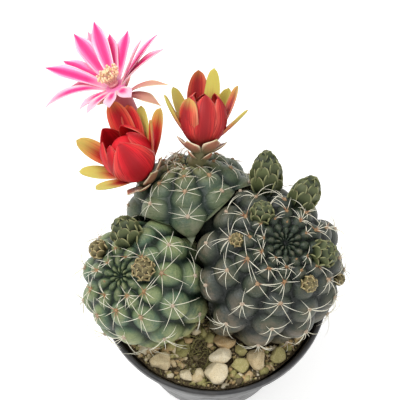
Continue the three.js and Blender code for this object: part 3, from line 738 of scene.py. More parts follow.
# From the middle of the base out, up the outside, over the lip, down the inside, and back in. The
# rings on the floor keep clear of the drain holes.
FLOOR_RINGS = (8, 15, 25)
FOOT_ROUND, LIP_ROUND, TOP_ROUND = 1, 0.6, 0.7
lip = POT_HEIGHT - LIP_HEIGHT
inner = inner_wall(POT_HEIGHT)
profile = [(0, 0), *[(r, 0) for r in FLOOR_RINGS], (FOOT_RADIUS - 2, 0)]
profile += rounded_corner((FOOT_RADIUS - FOOT_ROUND, FOOT_ROUND), FOOT_ROUND, -90, -8)
profile += [(inner_wall(z) + WALL, z) for z in np.linspace(4, lip - 1, 9)]
profile += rounded_corner((RIM_RADIUS - LIP_ROUND, lip + LIP_ROUND), LIP_ROUND, -90, 0)
profile += rounded_corner((RIM_RADIUS - TOP_ROUND, POT_HEIGHT - TOP_ROUND), TOP_ROUND, 0, 90)
profile += rounded_corner((inner + LIP_ROUND, POT_HEIGHT - LIP_ROUND), LIP_ROUND, 90, 180)
profile += [(inner_wall(z), z) for z in np.linspace(POT_HEIGHT - 1.4, FLOOR + 1, 10)]
profile += [(FOOT_RADIUS - WALL - 0.4, FLOOR), *[(r, FLOOR) for r in FLOOR_RINGS[::-1]]]
profile += [(0, FLOOR)]
pot = Batch()
pot.add(lathe(profile))
pot = pot.make("pot_shell", pot_finish(), ["pot"], "pot")

# %% Drain holes
DRAIN_HOLES, DRAIN_RADIUS, DRAIN_CIRCLE = 6, 3.5, 20
BORE_SIDES, BORE_FROM, BORE_TO = 32, -2, 4
ring = circle(full_turn(BORE_SIDES) + np.pi / BORE_SIDES) * DRAIN_RADIUS
ends = np.array([[0, BORE_FROM], [1, BORE_FROM], [1, BORE_TO], [0, BORE_TO]])[:, :, None]
places = circle(full_turn(DRAIN_HOLES))[:, None, None] * DRAIN_CIRCLE
bores = Batch()
bores.add(places + ring * ends[:, :1] + UP * ends[:, 1:])
bores = bores.make("drain_bores", pot.data.materials[0])
cut = pot.modifiers.new("drain", "BOOLEAN")
cut.operation, cut.solver, cut.object = "DIFFERENCE", "EXACT", bores
shown = bpy.context.evaluated_depsgraph_get()
pot.data = bpy.data.meshes.new_from_object(pot.evaluated_get(shown))
pot.modifiers.clear()
bpy.data.objects.remove(bores)
print("pot with its holes:", len(pot.data.polygons), "faces")

# %% [markdown]
# ## Soil and grit
# Cactus soil is a gritty mix: dark fibre, and stones of every size and colour. One uneven surface
# could not show that, so a thousand small stones lie on it, and bits of bark and root between them.
# A stone is a lumpy ball that random planes cut, which gives it the flat sides and edges of broken
# rock. Each has its own size, turn and tone, and the tone picks its colour from a ramp. The bits of
# bark and root are thin bent tubes. The twelve pebbles of the CAD are stones of the same kind.

# %% Soil
rng = np.random.default_rng(5)
WAVE_COUNT = 26
WAVES = rng.uniform(-1, 1, (WAVE_COUNT, 2)) * np.geomspace(0.25, 2.6, WAVE_COUNT)[:, None]
PHASES = rng.uniform(0, 6.3, WAVE_COUNT)


def soil_top(x, y):
    """The soil's height: a level, and a sum of sine waves, the shorter the lower."""
    waves = np.sin(x[..., None] * WAVES[:, 0] + y[..., None] * WAVES[:, 1] + PHASES)
    return SOIL_LEVEL - 0.1 + (waves * 0.16 / np.sqrt(1 + np.hypot(*WAVES.T) * 2)).sum(axis=-1)


def in_heads(points, air):
    """True where points lie inside any head, or nearer to it than `air`."""
    return ~np.all([head.clears(points, air) for head in heads.values()], axis=0)


def soil_points(sides=220, rings=90):
    """Rings of the bed: the middle and the edge of its floor, and its top from the edge inwards.
    Under the heads the top sinks below their flat feet."""
    floor, edge = FLOOR + 0.3, inner_wall(SOIL_LEVEL) - 0.9
    out = np.concatenate([[0, inner_wall(floor) - 0.4], edge * np.linspace(1, 0, rings)])
    points = circle(full_turn(sides)) * out[:, None, None]
    points[..., 2] = soil_top(points[..., 0], points[..., 1])
    under_heads = in_heads(points, 0.7)
    points[under_heads, 2] = np.minimum(points[under_heads, 2], HEAD_FOOT - 0.8)
    points[:2, :, 2] = floor
    return points[None]


def soil_finish():
    """Dark and pale crumbs by one ramp of patches and of fine grain."""
    paint = Finish("gritty soil", roughness=0.95, Specular_IOR_Level=0.2)
    crumbs, patch = paint.cells(0.8), paint.noise(4.0, detail=5, rough=0.7)
    fine = paint.noise(0.5, detail=3, rough=0.7)
    colour = paint.ramp(patch * 0.55 + fine * 0.45, (0.3, (0.016, 0.011, 0.006)),
                        (0.46, (0.07, 0.05, 0.028)), (0.58, (0.17, 0.13, 0.07)),
                        (0.75, (0.32, 0.26, 0.16)))
    paint.colour(colour)
    paint.bump(crumbs + fine * 0.8, 0.5)
    return paint.material


soil = Batch()
soil.add(soil_points())
soil.make("soil_bed", soil_finish(), ["soil"], "soil")


# %% Stones
def stones(centres, sizes, turns, rows=5, columns=7, uneven=0.16, cuts=0):
    """Lumpy balls: unit sphere * (1 + sines of its own coordinates), scaled and turned about Z.
    With `cuts`, that many random planes also cut each ball: along a direction v, the plane with
    normal n and distance d is d / (n . v) away, and the nearest plane counts. The distances are
    from 0.66 of the radius to the whole of it."""
    down = np.linspace(0, np.pi, rows)[:, None, None]
    ball = circle(full_turn(columns)) * np.sin(down) + UP * np.cos(down)
    seed = turns[:, None, None] * 5
    x, y, z = np.moveaxis(ball, -1, 0)
    dent = 1 + uneven * (np.sin(2.7 * x + seed) + 0.7 * np.cos(3.3 * y - 1.9 * z + 2 * seed)
                         + 0.4 * np.sin(5 * z + 4 * x * y + 3 * seed))
    if cuts:
        draw = np.random.default_rng(int(1000 * turns[0]) + len(turns))
        normals = unit(draw.normal(size=(len(turns), cuts, 3)))
        facing = np.einsum("nkx,rcx->nrck", normals, ball)
        away = draw.uniform(0.66, 1.0, (len(turns), 1, 1, cuts)) / np.maximum(facing, 0.2)
        dent = dent * np.minimum(away.min(axis=-1), 1.15)
    ball = ball * dent[..., None] * sizes[:, None, None]
    axes = np.stack([circle(turns), circle(turns + np.pi / 2), UP + 0 * turns[:, None]], axis=1)
    return np.einsum("nrcx,nxy->nrcy", ball, axes) + centres[:, None, None]


# A place on the ramp and the colour there, from dark bark to pale stone.
STONE_COLOURS = ((0.0, (0.035, 0.025, 0.014)), (0.2, (0.14, 0.105, 0.05)),
                 (0.36, (0.3, 0.28, 0.09)), (0.5, (0.46, 0.4, 0.17)), (0.64, (0.5, 0.33, 0.15)),
                 (0.8, (0.68, 0.56, 0.34)), (1.0, (0.86, 0.79, 0.62)))


def stone_finish(name, size):
    """Each stone's tone picks its colour, and patches about `size` mm across vary it. Fine grain
    adds dark and pale specks."""
    paint = Finish(name, roughness=0.85, Specular_IOR_Level=0.3)
    patch = paint.noise(size, detail=5, rough=0.7)
    fine = paint.noise(size / 5, detail=3, rough=0.7)
    share = paint.attribute("tone") * 0.8 + patch * 0.3 - 0.01
    paint.colour(paint.layers(paint.ramp(share, *STONE_COLOURS),
                              (fine.between(0.5, 0.72) * 0.45, (0.16, 0.12, 0.065)),
                              (fine.between(0.5, 0.25) * 0.4, (0.85, 0.78, 0.62))))
    paint.rough(0.72 + fine * 0.25)
    paint.bump(patch + fine * 0.7, size * 0.12)
    return paint.material


# %% Pebbles
# The tone of each pebble, and how its box in the CAD gives its size. The box holds only the part
# above the ground, so the stone is higher by 1 / SHOWN, and its middle is 1 / DEPTH of the box's
# half height below its top. It is a bit wider, because the planes cut some of it off. It ends flat,
# SUNK mm under the ground.
TONES = [0.9, 0.66, 0.95, 0.4, 0.78, 0.38, 0.8, 0.9, 0.42, 0.74, 0.62, 0.8]
WIDER, SHOWN, DEPTH, SUNK = 1.08, 0.7, 0.74, 0.25
pebble_spots = []
pebble_paint = stone_finish("pebble stone", 2.2)
pebble_nodes = sorted(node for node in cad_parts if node.startswith("pebble"))
for number, (node, tone) in enumerate(zip(pebble_nodes, TONES)):
    low, high = np.array(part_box(node)) / MM
    half = (high - low) / 2
    size = half * [WIDER, WIDER, 1 / SHOWN]
    centre = np.array([*(low + high)[:2] / 2, high[2] - half[2] / DEPTH])
    shape = stones(centre[None], size[None], np.array([number * 1.7]), rows=26, columns=40,
                   uneven=0.07, cuts=11)
    shape[..., 2] = np.maximum(shape[..., 2], low[2] - SUNK)
    pebble = Batch("tone")
    pebble.add(shape, tone=tone)
    pebble.make(f"stone_{number + 1:02d}", pebble_paint, [node], "pebble")
    pebble_spots.append([*centre[:2], half[:2].max()])
pebble_spots = np.array(pebble_spots)


# %% Grit
FIBRE_SPOT, FIBRE_REACH = np.array([-5.6, -25]), np.array([7, 14])
GRIT_EDGE = inner_wall(SOIL_LEVEL) - 1.2
# How many stones are tried, from what size to what size, and the number that starts the draws.
GRIT = ((5200, 0.28, 0.7, 1), (1900, 0.7, 1.5, 2), (800, 1.4, 3.0, 3))


def bare(x, y):
    """0 in the middle of the spot that is nearly free of stones, and 1 at its edge."""
    return (((np.stack([x, y], axis=-1) - FIBRE_SPOT) / FIBRE_REACH) ** 2).sum(axis=-1)


def grit(count, low, high, seed):
    """Stones scattered over the soil, clear of the heads, the pebbles and the pot. There are few
    where the soil's fibres show."""
    draw = np.random.default_rng(seed)
    size = low * (high / low) ** draw.uniform(0, 1, count) ** 1.6
    out = (GRIT_EDGE - size) * np.sqrt(draw.uniform(0, 1, count))
    turn = draw.uniform(0, 2 * np.pi, count)
    x, y = out * np.cos(turn), out * np.sin(turn)
    shape = size[:, None] * draw.uniform(0.75, 1.25, (count, 3)) * [1, 1, 0.8]
    centre = np.stack([x, y, soil_top(x, y) + 0.25 * size], axis=-1)
    apart = np.hypot(x[:, None] - pebble_spots[:, 0], y[:, None] - pebble_spots[:, 1])
    free = np.all(apart > pebble_spots[:, 2] + 0.8 * size[:, None], axis=1)
    free &= ~in_heads(centre + [0, 0, 0.5], 0.3)
    free &= bare(x, y) > draw.uniform(0.0, 1.1, count)
    turns, tones = draw.uniform(0, 6.3, count), draw.uniform(0, 1, count)
    return centre[free], shape[free], turns[free], tones[free]


scatter = Batch("tone")
for sizes in GRIT:
    centre, shape, turns, tones = grit(*sizes)
    scatter.add(stones(centre, shape, turns, rows=6, columns=9, cuts=7), tone=tones)
scatter.make("grit", stone_finish("grit stone", 0.9), slot="pebble")


# %% Fibres
def fibres(count=520, in_spot=0.6, seed=9):
    """Bits of bark and root that lie on the soil: thin, bent, and thickest where stones are few,
    with the share `in_spot` of them round that place."""
    draw = np.random.default_rng(seed)
    spot = np.where(np.arange(count)[:, None] < in_spot * count,
                    FIBRE_SPOT + draw.normal(0, 0.55, (count, 2)) * FIBRE_REACH,
                    draw.uniform(-40, 40, (count, 2)))
    turn, bend = draw.uniform(0, 2 * np.pi, (2, count, 1))
    t = doubled(np.linspace(0, 1, 5))
    long = draw.uniform(1.5, 5.5, (count, 1))
    angle = turn + 1.6 * np.sin(bend) * t
    steps = long * np.diff(t, prepend=0)
    x = spot[:, :1] + np.cumsum(steps * np.cos(angle), axis=1)
    y = spot[:, 1:] + np.cumsum(steps * np.sin(angle), axis=1)
    z = soil_top(x, y) + draw.uniform(0.2, 1.0, (count, 1)) + 0.5 * np.sin(5 * t + bend)
    paths = np.stack([x, y, z], axis=-1)
    free = (np.hypot(x, y) < GRIT_EDGE).all(axis=1)
    free &= ~in_heads(paths, 0.4).any(axis=1)
    radii = draw.uniform(0.07, 0.26, (count, 1)) * [0, 1, 1, 1, 1, 1, 0]
    return tubes(paths[free], radii[free], UP, 4), draw.uniform(0, 0.32, free.sum())


litter = Batch("tone")
shape, tones = fibres()
litter.add(shape, tone=tones)
litter.make("soil_fibres", stone_finish("bark and roots", 0.7), slot="soil")

# %% [markdown]
# ## Buds
# A bud of this cactus is an egg of overlapping scales, like a small artichoke. The scales follow a
# spiral, each turned by the golden angle from the last, so none stands right above another. They
# are leaves with a broad root, and each opens and closes at the slope that the egg has there. The
# smallest buds are dry, and so paler.

# %% Bud materials
def scale_finish(name, heart, body, rim, tip):
    """Scales with a dark heart, a pale rim and their own colour at the tip. The rim is where the
    place across the scale, and in part the place along it, is near 1."""
    paint = Finish(name, roughness=0.5, Specular_IOR_Level=0.35)
    across, along = paint.attribute("across"), paint.attribute("along")
    fine = paint.noise(0.6, detail=3)
    side = across.math("ABSOLUTE")
    edge = (side + along * 0.42 + fine * 0.3 - 0.15).between(0.95, 1.3) * 0.85
    paint.colour(paint.layers(heart, (along.between(0.05, 0.75), body),
                              (paint.attribute("tone") * 0.4, heart), (edge, rim),
                              (along.between(0.86, 1.0) * 0.8, tip)))
    paint.rough(0.45 + fine * 0.2)
    paint.bump(fine * 0.5 + side * 0.5, 0.08)
    return paint.material


bud_paint = scale_finish("bud scales", heart=(0.014, 0.022, 0.008), body=(0.085, 0.1, 0.036),
                         rim=(0.26, 0.26, 0.12), tip=(0.2, 0.15, 0.08))
dry_paint = scale_finish("dry bud scales", heart=(0.05, 0.04, 0.015), body=(0.16, 0.13, 0.05),
                         rim=(0.48, 0.4, 0.2), tip=(0.34, 0.2, 0.1))
print("bud finishes:", bud_paint.name, "and", dry_paint.name)

# %% Bud shape
SMALL_BUD = 7.5
# Each bud: its head, its turn round it, how far down it stands, its length and width, and what is
# added to the head's normal to give the way that it faces.
BUDS = [("right", 98, 64.5, 17, 11.4, (0, 0.1, 0.35)), ("right", 67, 46, 14.5, 10.6, (0.1, 0.2, 0)),
        ("right", 130, 30, 8, 8.6, (0, 0, 0.2)), ("right", 348, 31, 9, 10, (0.1, 0, 0.1)),
        ("right", 300, 37, 5.5, 6, (0, 0, 0.2)), ("right", 180, 40, 4.5, 4.8, (0, 0, 0)),
        ("right", 346, 74, 4.5, 4.8, (0, 0, 0.2)), ("left", 82, 39, 12, 11, (0, 0.25, 0)),
        ("left", 131, 35, 6, 7, (0, 0, 0)), ("left", 7, 27, 7, 8.4, (0, 0, 0))]


def egg(t):
    """The bud's radius against its half width: sin(pi (0.22 + 0.7 t)^1.2)^0.6."""
    return np.sin(np.pi * (0.22 + 0.7 * t) ** 1.2) ** 0.6


def bud(batch, base, facing, length, width, seed):
    """Scales lie along an egg: each opens and closes at the egg's own slope, and a bit wider. They
    get smaller towards the tip."""
    draw = np.random.default_rng(seed)
    axes = standing(facing)
    t = np.linspace(0, 1, 24)
    out, rise = 0.4 * width * egg(t) * np.sqrt(1 - t**20), length * (t * 0.98 - 0.1)
    core = lathe([(0, -0.3 * length), *zip(out, rise)], sides=24)
    batch.add(core @ axes + base, across=0.0, along=0.1, tone=0.5)
    slope = np.degrees(np.arctan2(np.gradient(out), np.gradient(rise)))
    count = int(11 + 1.15 * length)
    i = np.arange(count)
    root = 0.97 * ((i + 0.3) / count) ** 0.95
    size = 1 - 0.58 * root**1.3
    shape = dict(turn=i * GOLDEN_ANGLE, radius=np.interp(root, t, out) - 0.3,
                 height=np.interp(root, t, rise) - 0.2, length=(0.36 * length + 1.2) * size,
                 width=width * 0.58 * size, open_=np.interp(root, t, slope) + 12 * (1 - root),
                 close=np.maximum(np.interp(root + 0.3, t, slope), -100) + 4 * (1 - root))
    points, across, along = leaves(**shape, outline=rounded, thick=1.1, cup=-0.34, rows=10)
    tone = draw.uniform(0, 1, count)
    batch.add(points @ axes + base, across=across, along=along, tone=tone)


bud_tips = []
for number, (name, around, down, length, width, tip) in enumerate(BUDS):
    head = heads[name]
    rib = head.ribs * (around * DEG - head.turn) / (2 * np.pi)
    base, normal = (v[0] for v in head.place([rib], [down * DEG]))
    facing = unit(normal + tip)
    batch = Batch("across", "along", "tone")
    bud(batch, base, facing, length, width, number)
    paint = dry_paint if length < SMALL_BUD else bud_paint
    node = f"bud_{number + 1:02d}"
    batch.make(f"scaly_{node}", paint, [node], "bud")
    bud_tips.append((base, base + facing * (length - width / 2), width / 2))

# %% [markdown]
# ## Flowers
# The flowers spring from the crown of the back head, on short tubes with a few scales. The pink
# one is wide open: rings of narrow petals round a tuft of stamens. The red ones are half open:
# broad petals wrapped round an egg, and outer ones with yellow-green tips that stand away. All of
# them are leaves, which stand at the turn and the lean of the CAD model's petals. Most of the
# wrapped ones are added, since the CAD model keeps the egg plain.

# %% Flower sizes
# A tube's radius where it springs from the head.
TUBE_FOOT = 2.6
# Each leaf: its turn round the flower, its lean, length, width, curl from root to tip, and rank.
# Rank 0 is an inner petal and 1 an outer one. The wraps are the petals that close over the egg.
# Top is the radius of the tube at its throat, and size scales all the petals of a flower.
FLOWERS = {
    "bloom_open": dict(
        seat=(-25.5, 40.5, 93), throat=(-37.2, 64.6, 115.0), facing=(-0.42, 0.45, 0.78), top=4.2,
        petals=[(300, 60, 28, 6.8, 12, 0), (280, 68, 26, 6.4, 10, 0), (260, 52, 28, 6.6, 12, 0),
                (248, 57, 27, 5.6, 16, 0.6), (238, 50, 28, 6.2, 12, 0), (231, 65, 24, 6, 8, 0.1),
                (213, 68, 24, 6.2, 8, 0), (142, 57, 27, 6, 10, 0.1), (131, 46, 25, 5, 8, 0.5),
                (130, 66, 27, 5, 24, 0.7), (296, 84, 20, 5.4, 20, 0.6), (324, 83, 28, 5.6, 60, 0.7),
                (344, 90, 14, 4, 30, 1), (18, 82, 15, 5, 20, 0.9), (50, 84, 13, 5.2, 20, 0.9),
                (84, 86, 13, 5.4, 14, 1)],
        sepals=[(116, 83, 24, 3.8, 50), (108, 106, 18, 5, 60), (0, 66, 8, 5, 20),
                (200, 64, 8, 5, 20)]),
    "bloom_red_left": dict(
        seat=(-24.6, 33, 99.5), throat=(-26.8, 32.3, 106.7), facing=(-0.45, 0.38, 0.81), top=3.8,
        size=1.15,
        wraps=[(66, 7, 22, 15.5, -114, 0), (136, 3, 21, 12, -114, 0), (4, 3, 21, 12, -116, 0),
               (200, 5, 22, 12, -110, 0), (270, 10, 23, 12, -100, 0), (330, 6, 22, 11, -108, 0)],
        petals=[(230, 32, 25, 8.4, -20, 0.35), (212, 34, 22, 8, -16, 0.25),
                (176, 48, 21, 7.6, -20, 0.6), (200, 42, 21, 6, -14, 1),
                (290, 42, 23, 7.6, -16, 0.7), (310, 62, 19, 6.4, -8, 1),
                (350, 60, 15, 6.4, -8, 0.95), (148, 30, 20, 6.4, -20, 0.5)],
        sepals=[(20, 62, 11, 6, -10), (50, 58, 12, 7, -30), (124, 44, 14, 6, -16),
                (86, 42, 12, 8.5, -50)]),
    "bloom_red_right": dict(
        seat=(-7.5, 37, 109), throat=(-4.8, 39.1, 118.6), facing=(0.07, 0.82, 0.57), top=3.6,
        size=1.0,
        wraps=[(96, 4, 23, 13, -116, 0), (216, 4, 23, 13, -116, 0), (336, 4, 23, 13, -116, 0),
               (36, 8, 22, 13, -112, 0), (156, 8, 22, 12, -112, 0), (276, 8, 22, 13, -112, 0)],
        petals=[(300, 9, 28, 9, -40, 0.3), (250, 9, 29, 6.6, -36, 0.95),
                (200, 24, 25, 8, -30, 0.5), (236, 31, 24, 7, -24, 1), (322, 35, 24, 7.6, -24, 1),
                (1, 36, 22, 8, -24, 0.9), (177, 44, 20, 7, -10, 0.8), (42, 16, 20, 12, -78, 0.45)],
        sepals=[(5, 50, 10, 6, -30), (54, 50, 9, 8, -40), (130, 44, 10, 8.5, -40),
                (186, 56, 9, 6, -30), (280, 56, 9, 7, -30)]),
}
for name, shape in FLOWERS.items():
    print(name, "petals:", len(shape["petals"]), "wraps:", len(shape.get("wraps", [])))


# %% Petal materials
def petal_finish(name, stripe, body, margin, root, tip, outer, hem, streak, reach):
    """A stripe down the middle and a paler margin, which `reach` makes wider. The tip's own colour
    goes further down a petal the higher its rank. Fine veins run along the petal, as noise that is
    stretched on the petal's own two values."""
    paint = Finish(name, Specular_IOR_Level=0.28, Subsurface_Weight=0.15, Subsurface_Scale=0.001)
    across, along = paint.attribute("across"), paint.attribute("along")
    rank, tone = paint.attribute("rank"), paint.attribute("tone")
    sockets = {"X": across * 9 + tone * 40, "Y": along * 1.4, "Z": tone}
    veins = paint.noise_at(paint.node("CombineXYZ", None, sockets), detail=3)
    side = across.math("ABSOLUTE") + veins * 0.4 - 0.2
    start = 1.02 - rank * 0.62
    tips = (along + side * rank * 0.12 + veins * 0.2 - 0.1 - start) * 2.6
    streaks = (veins - 0.5).math("ABSOLUTE").between(0.02, 0.1)
    paint.colour(paint.layers(stripe,
                              (side.between(0.1, 0.6), body),
                              ((side + reach).between(0.5, 1.0), margin),
                              ((side + reach).between(0.9, 1.15) * 0.7, hem),
                              (streaks * streak, stripe),
                              ((1 - along.between(0.0, 0.35)) * 0.75, root),
                              (rank * side.between(0.3, 0.95) * 0.7, outer),
                              (tips.between(0.0, 1.0) * (rank * 0.6 + 0.4), tip)))
    paint.rough(0.46 + veins * 0.24)
    paint.bump(veins, 0.2)
    return paint.material


pink = petal_finish("pink petals", stripe=(0.74, 0.028, 0.2), body=(0.84, 0.13, 0.38),
                    margin=(0.94, 0.54, 0.71), root=(0.95, 0.62, 0.72), tip=(0.88, 0.5, 0.6),
                    outer=(0.93, 0.68, 0.62), hem=(0.97, 0.86, 0.9), streak=0.55, reach=0.14)
red = petal_finish("red petals", stripe=(0.36, 0.004, 0.01), body=(0.66, 0.01, 0.02),
                   margin=(0.68, 0.05, 0.04), root=(0.28, 0.03, 0.025), tip=(0.56, 0.5, 0.11),
                   outer=(0.72, 0.25, 0.09), hem=(0.84, 0.42, 0.3), streak=0.7, reach=0.04)
deep_red = petal_finish("deep red petals", stripe=(0.29, 0.01, 0.013), body=(0.6, 0.026, 0.024),
                        margin=(0.62, 0.09, 0.06), root=(0.2, 0.035, 0.02), tip=(0.55, 0.5, 0.1),
                        outer=(0.66, 0.27, 0.1), hem=(0.74, 0.4, 0.3), streak=0.8, reach=0.08)
pink_tube = scale_finish("pink tube scales", heart=(0.45, 0.1, 0.13), body=(0.55, 0.3, 0.2),
                         rim=(0.78, 0.68, 0.42), tip=(0.72, 0.55, 0.2))
red_tube = scale_finish("red tube scales", heart=(0.13, 0.12, 0.055), body=(0.38, 0.13, 0.08),
                        rim=(0.76, 0.64, 0.44), tip=(0.5, 0.5, 0.25))
# For each flower: the finish and the slot of its tube, and then of its petals.
FLOWER_PAINTS = {"bloom_open": (pink_tube, "pink_tube", pink, "pink_petal"),
                 "bloom_red_left": (red_tube, "red_tube", red, "red_petal"),
                 "bloom_red_right": (red_tube, "red_tube", deep_red, "red_petal")}
print("flower finishes:", {name: paints[2].name for name, paints in FLOWER_PAINTS.items()})


# %% Flower tubes
def bezier(start, bend, end, count):
    """(1 - t)^2 start + 2 t (1 - t) bend + t^2 end."""
    t = np.linspace(0, 1, count)[:, None]
    return (1 - t) ** 2 * start + 2 * t * (1 - t) * bend + t * t * end


def leaf_ring(sizes, **shape):
    """Leaves from a list of turn, lean, length, width and curl."""
    turn, lean, length, width, curl = np.array(sizes, float).T[:5]
    return leaves(turn * DEG, length=length, width=width, open_=lean - curl / 2,
                  close=lean + curl / 2, **shape)


def flower_tube(name, seat, throat, facing, top, sepals, **other):
    """A bent tube from seat to throat, with three low scales, and sepals round its mouth."""
    start, end, axes = np.array(seat), np.array(throat), standing(facing)
    reach = np.linalg.norm(end - start)
    path = doubled(bezier(start, end - axes[2] * 0.55 * reach, end, 16))
    radii = TUBE_FOOT + (top - TUBE_FOOT) * doubled(np.linspace(0, 0.97, 16))
    radii[[0, -1]] = 0
    batch = Batch("across", "along", "tone")
    across = unit(np.cross(axes[2], [0.3, 0.2, 1.0]))
    batch.add(tubes(path[None], radii, across, 24), across=0.2, along=0.1, tone=0.2)
    low = [(turn, 42, 5.2, 4.4, -27) for turn in (20, 140, 260)]
    rings = (leaf_ring(low, radius=top - 1.6, height=-0.42 * reach - 0.8, outline=scaly,
                       thick=0.6, cup=0.25, rows=12),
             leaf_ring(sepals, radius=top - 1.4, height=-2.6, outline=pointed, thick=0.7, cup=0.3,
                       rows=18))
    for points, side, along in rings:
        tone = np.linspace(0, 1, len(points))
        batch.add(points @ axes + end, across=side, along=along, tone=tone)
    paint, slot = FLOWER_PAINTS[name][:2]
    batch.make(f"{name}_scaly_tube", paint, [f"{name}_tube"], slot)


# %% Petals
def corolla(name, throat, facing, rings, heart, size=1.0):
    """The petals of a flower and the body that they stand on, a profile turned about its axis."""
    axes, base = standing(facing), np.array(throat)
    batch = Batch("across", "along", "rank", "tone")
    batch.add(lathe(heart, sides=48) @ axes * size + base, across=0.5, along=0.4, tone=0.4)
    draw = np.random.default_rng(len(name))
    for petals, shape in rings:
        points, across, along = leaf_ring(petals, **shape, rows=26, columns=18)
        rank, tone = [petal[5] for petal in petals], draw.uniform(0, 1, len(petals))
        batch.add(points @ axes * size + base, across=across, along=along, rank=rank, tone=tone)
    paint, slot = FLOWER_PAINTS[name][2:]
    batch.make(f"{name}_corolla", paint, [f"{name}_petals"], slot)


PINK_HEART = [(0, 0.3), (3.4, 0.3), (4.4, 1.6), (3.9, 2.3), (3.2, 2.6), (0, 2)]
PINK_SHAPE = dict(radius=2.8, height=1.5, outline=lance, thick=0.7, cup=0.3, ripple=0.04)
RED_HEART = [(0, 0.3), (2.6, 0.3), (4.1, 1.4), (5.2, 2.8), (6.0, 4.5), (6.4, 6.2), (6.6, 8),
             (6.5, 9.6), (6.1, 11.4), (5.4, 13.2), (4.4, 14.8), (3.2, 16), (1.7, 16.8), (0, 17.1)]
RED_SHAPE = dict(radius=2.6, height=0.9, outline=spatulate, thick=0.9, cup=0.28, ripple=0.03)
WRAP_SHAPE = {**RED_SHAPE, "outline": wrapped, "cup": 0.5}


# %% Stamens
FILAMENT_FOOT, STYLE_FOOT, STYLE_LENGTH = 3.6, 4, 4.6


def stamens(name, throat, facing, count=64):
    """Filaments lean out by 0.62 sqrt(i / n), so that they fill a cone evenly, round a style. Each
    bears an anther, a small stone in form, and the style ends in a star of lobes."""
    axes, base = standing(facing), np.array(throat)
    draw = np.random.default_rng(8)
    batch = Batch("along", "tone")
    dome = lathe([(0, 2.7), (2, 3.0), (2.1, 3.6), (1.7, 4.2), (0.9, 4.8), (0, 5)], sides=24)
    batch.add(dome @ axes + base, along=0.1)
    i = np.arange(count)
    turn, share = i * GOLDEN_ANGLE, np.sqrt(i / count)
    outward, side = circle(turn), circle(turn + np.pi / 2)
    root = outward * (0.5 + 1.3 * share)[:, None] + UP * FILAMENT_FOOT
    long = 4.0 + 2.6 * draw.uniform(0, 1, count)
    t = doubled(np.linspace(0, 1, 5))
    lean = (0.05 + 0.62 * share)[:, None] * (0.5 + 0.5 * t)
    way = unit(outward[:, None] * lean[..., None] + UP)
    paths = root[:, None] + (long[:, None] * t)[..., None] * way
    radii = [0, 0.16, 0.14, 0.13, 0.12, 0.12, 0]
    batch.add(tubes(paths, radii, side, 5) @ axes + base, along=t[:, None] * 0.6)
    anthers = stones(paths[:, -1], draw.uniform(0.8, 1.2, (count, 1)) * [0.42, 0.42, 0.62],
                     draw.uniform(0, 6, count))
    batch.add(anthers @ axes + base, along=1.0, tone=draw.uniform(0, 1, count))
    style = UP * (STYLE_FOOT + STYLE_LENGTH * doubled(np.linspace(0, 1, 3)))[:, None]
    style = tubes(style[None], [0, 0.6, 0.55, 0.6, 0], RIGHT, 12)
    batch.add(style @ axes + base, along=0.5)
    lobes, _, along = leaves(turn=full_turn(8), radius=0.3, height=STYLE_FOOT + STYLE_LENGTH - 0.2,
                             length=2.0, width=0.7, open_=24, close=70, outline=rounded,
                             thick=0.5, cup=0.1, rows=7, columns=8)
    batch.add(lobes @ axes + base, along=0.7 + along * 0.1)
    batch.make("stamen_tuft", stamen_finish(), [f"{name}_stamens"], "stamen")


def stamen_finish():
    """Pink filaments that turn yellowish upwards, and anthers, where `along` is 1, of two tones."""
    paint = Finish("stamens", roughness=0.6)
    along, tone = paint.attribute("along"), paint.attribute("tone")
    colour = paint.mix(along.between(0.05, 0.6), (0.75, 0.36, 0.36), (0.85, 0.66, 0.42))
    pollen = paint.mix(tone, (0.84, 0.56, 0.3), (0.92, 0.76, 0.52))
    paint.colour(paint.mix(along.between(0.85, 0.95), colour, pollen))
    paint.bump(paint.noise(0.3), 0.1)
    return paint.material


# %% Flower making
for name, shape in FLOWERS.items():
    flower_tube(name, **shape)
    place = name, shape["throat"], shape["facing"]
    if name == "bloom_open":
        corolla(*place, [(shape["petals"], PINK_SHAPE)], PINK_HEART)
        stamens(*place)
    else:
        rings = [(shape["wraps"], WRAP_SHAPE), (shape["petals"], RED_SHAPE)]
        corolla(*place, rings, RED_HEART, shape["size"])

# %% [markdown]
# ## Areoles and spines
# On top of each chin sits an areole, a cushion of cream felt from which the spines fan out. They
# lean down the chin and out to its sides, curve back like claws, and are cream with a rusty root.
# Areoles in the crown are young: small, and with short spines. Particles could carry such small
# repeats, but these are meshes like all the rest, because every one is placed and bent by its own
# formula. A spine that would run into a neighbour is left out.


# %% Areoles
HAIRS = 16
# How far down a head its crown is bare of spines, and how far down its last areoles are.
BARE_CROWN = {"left": 0.3, "right": 0.3, "back": 0.14}
LAST_AREOLE = 116 * DEG


def areoles(head, first, last):
    """Rib numbers and downs of the areoles: one for each chin."""
    rib, row = np.meshgrid(np.arange(head.ribs), np.arange(-8, 3 * head.ribs), indexing="ij")
    along = row + rib * head.step / head.ribs + head.start
    down = head.down_of(along)
    inside = (down > first) & (down < last)
    return rib[inside], down[inside]


def stands_free(name, points):
    """True where a point of this head isn't pushed by a neighbour, the rim or the soil."""
    moved = np.linalg.norm(settled(name, points.copy()) - points, axis=-1)
    return (moved < 0.05) & (points[:, 2] > SOIL_LEVEL + 1.2)


def directions(head, rib, down):
    """On the skin: the point, and the ways out of it, down the rib and sideways."""
    point, normal = head.place(rib, down)
    lower, upper = head.place(rib, down + 0.02, chins=0.5)[0], head.place(rib, down, chins=0.5)[0]
    descent = lower - upper
    descent = unit(descent - normal * dot(descent, normal))
    return point, normal, descent, np.cross(normal, descent)


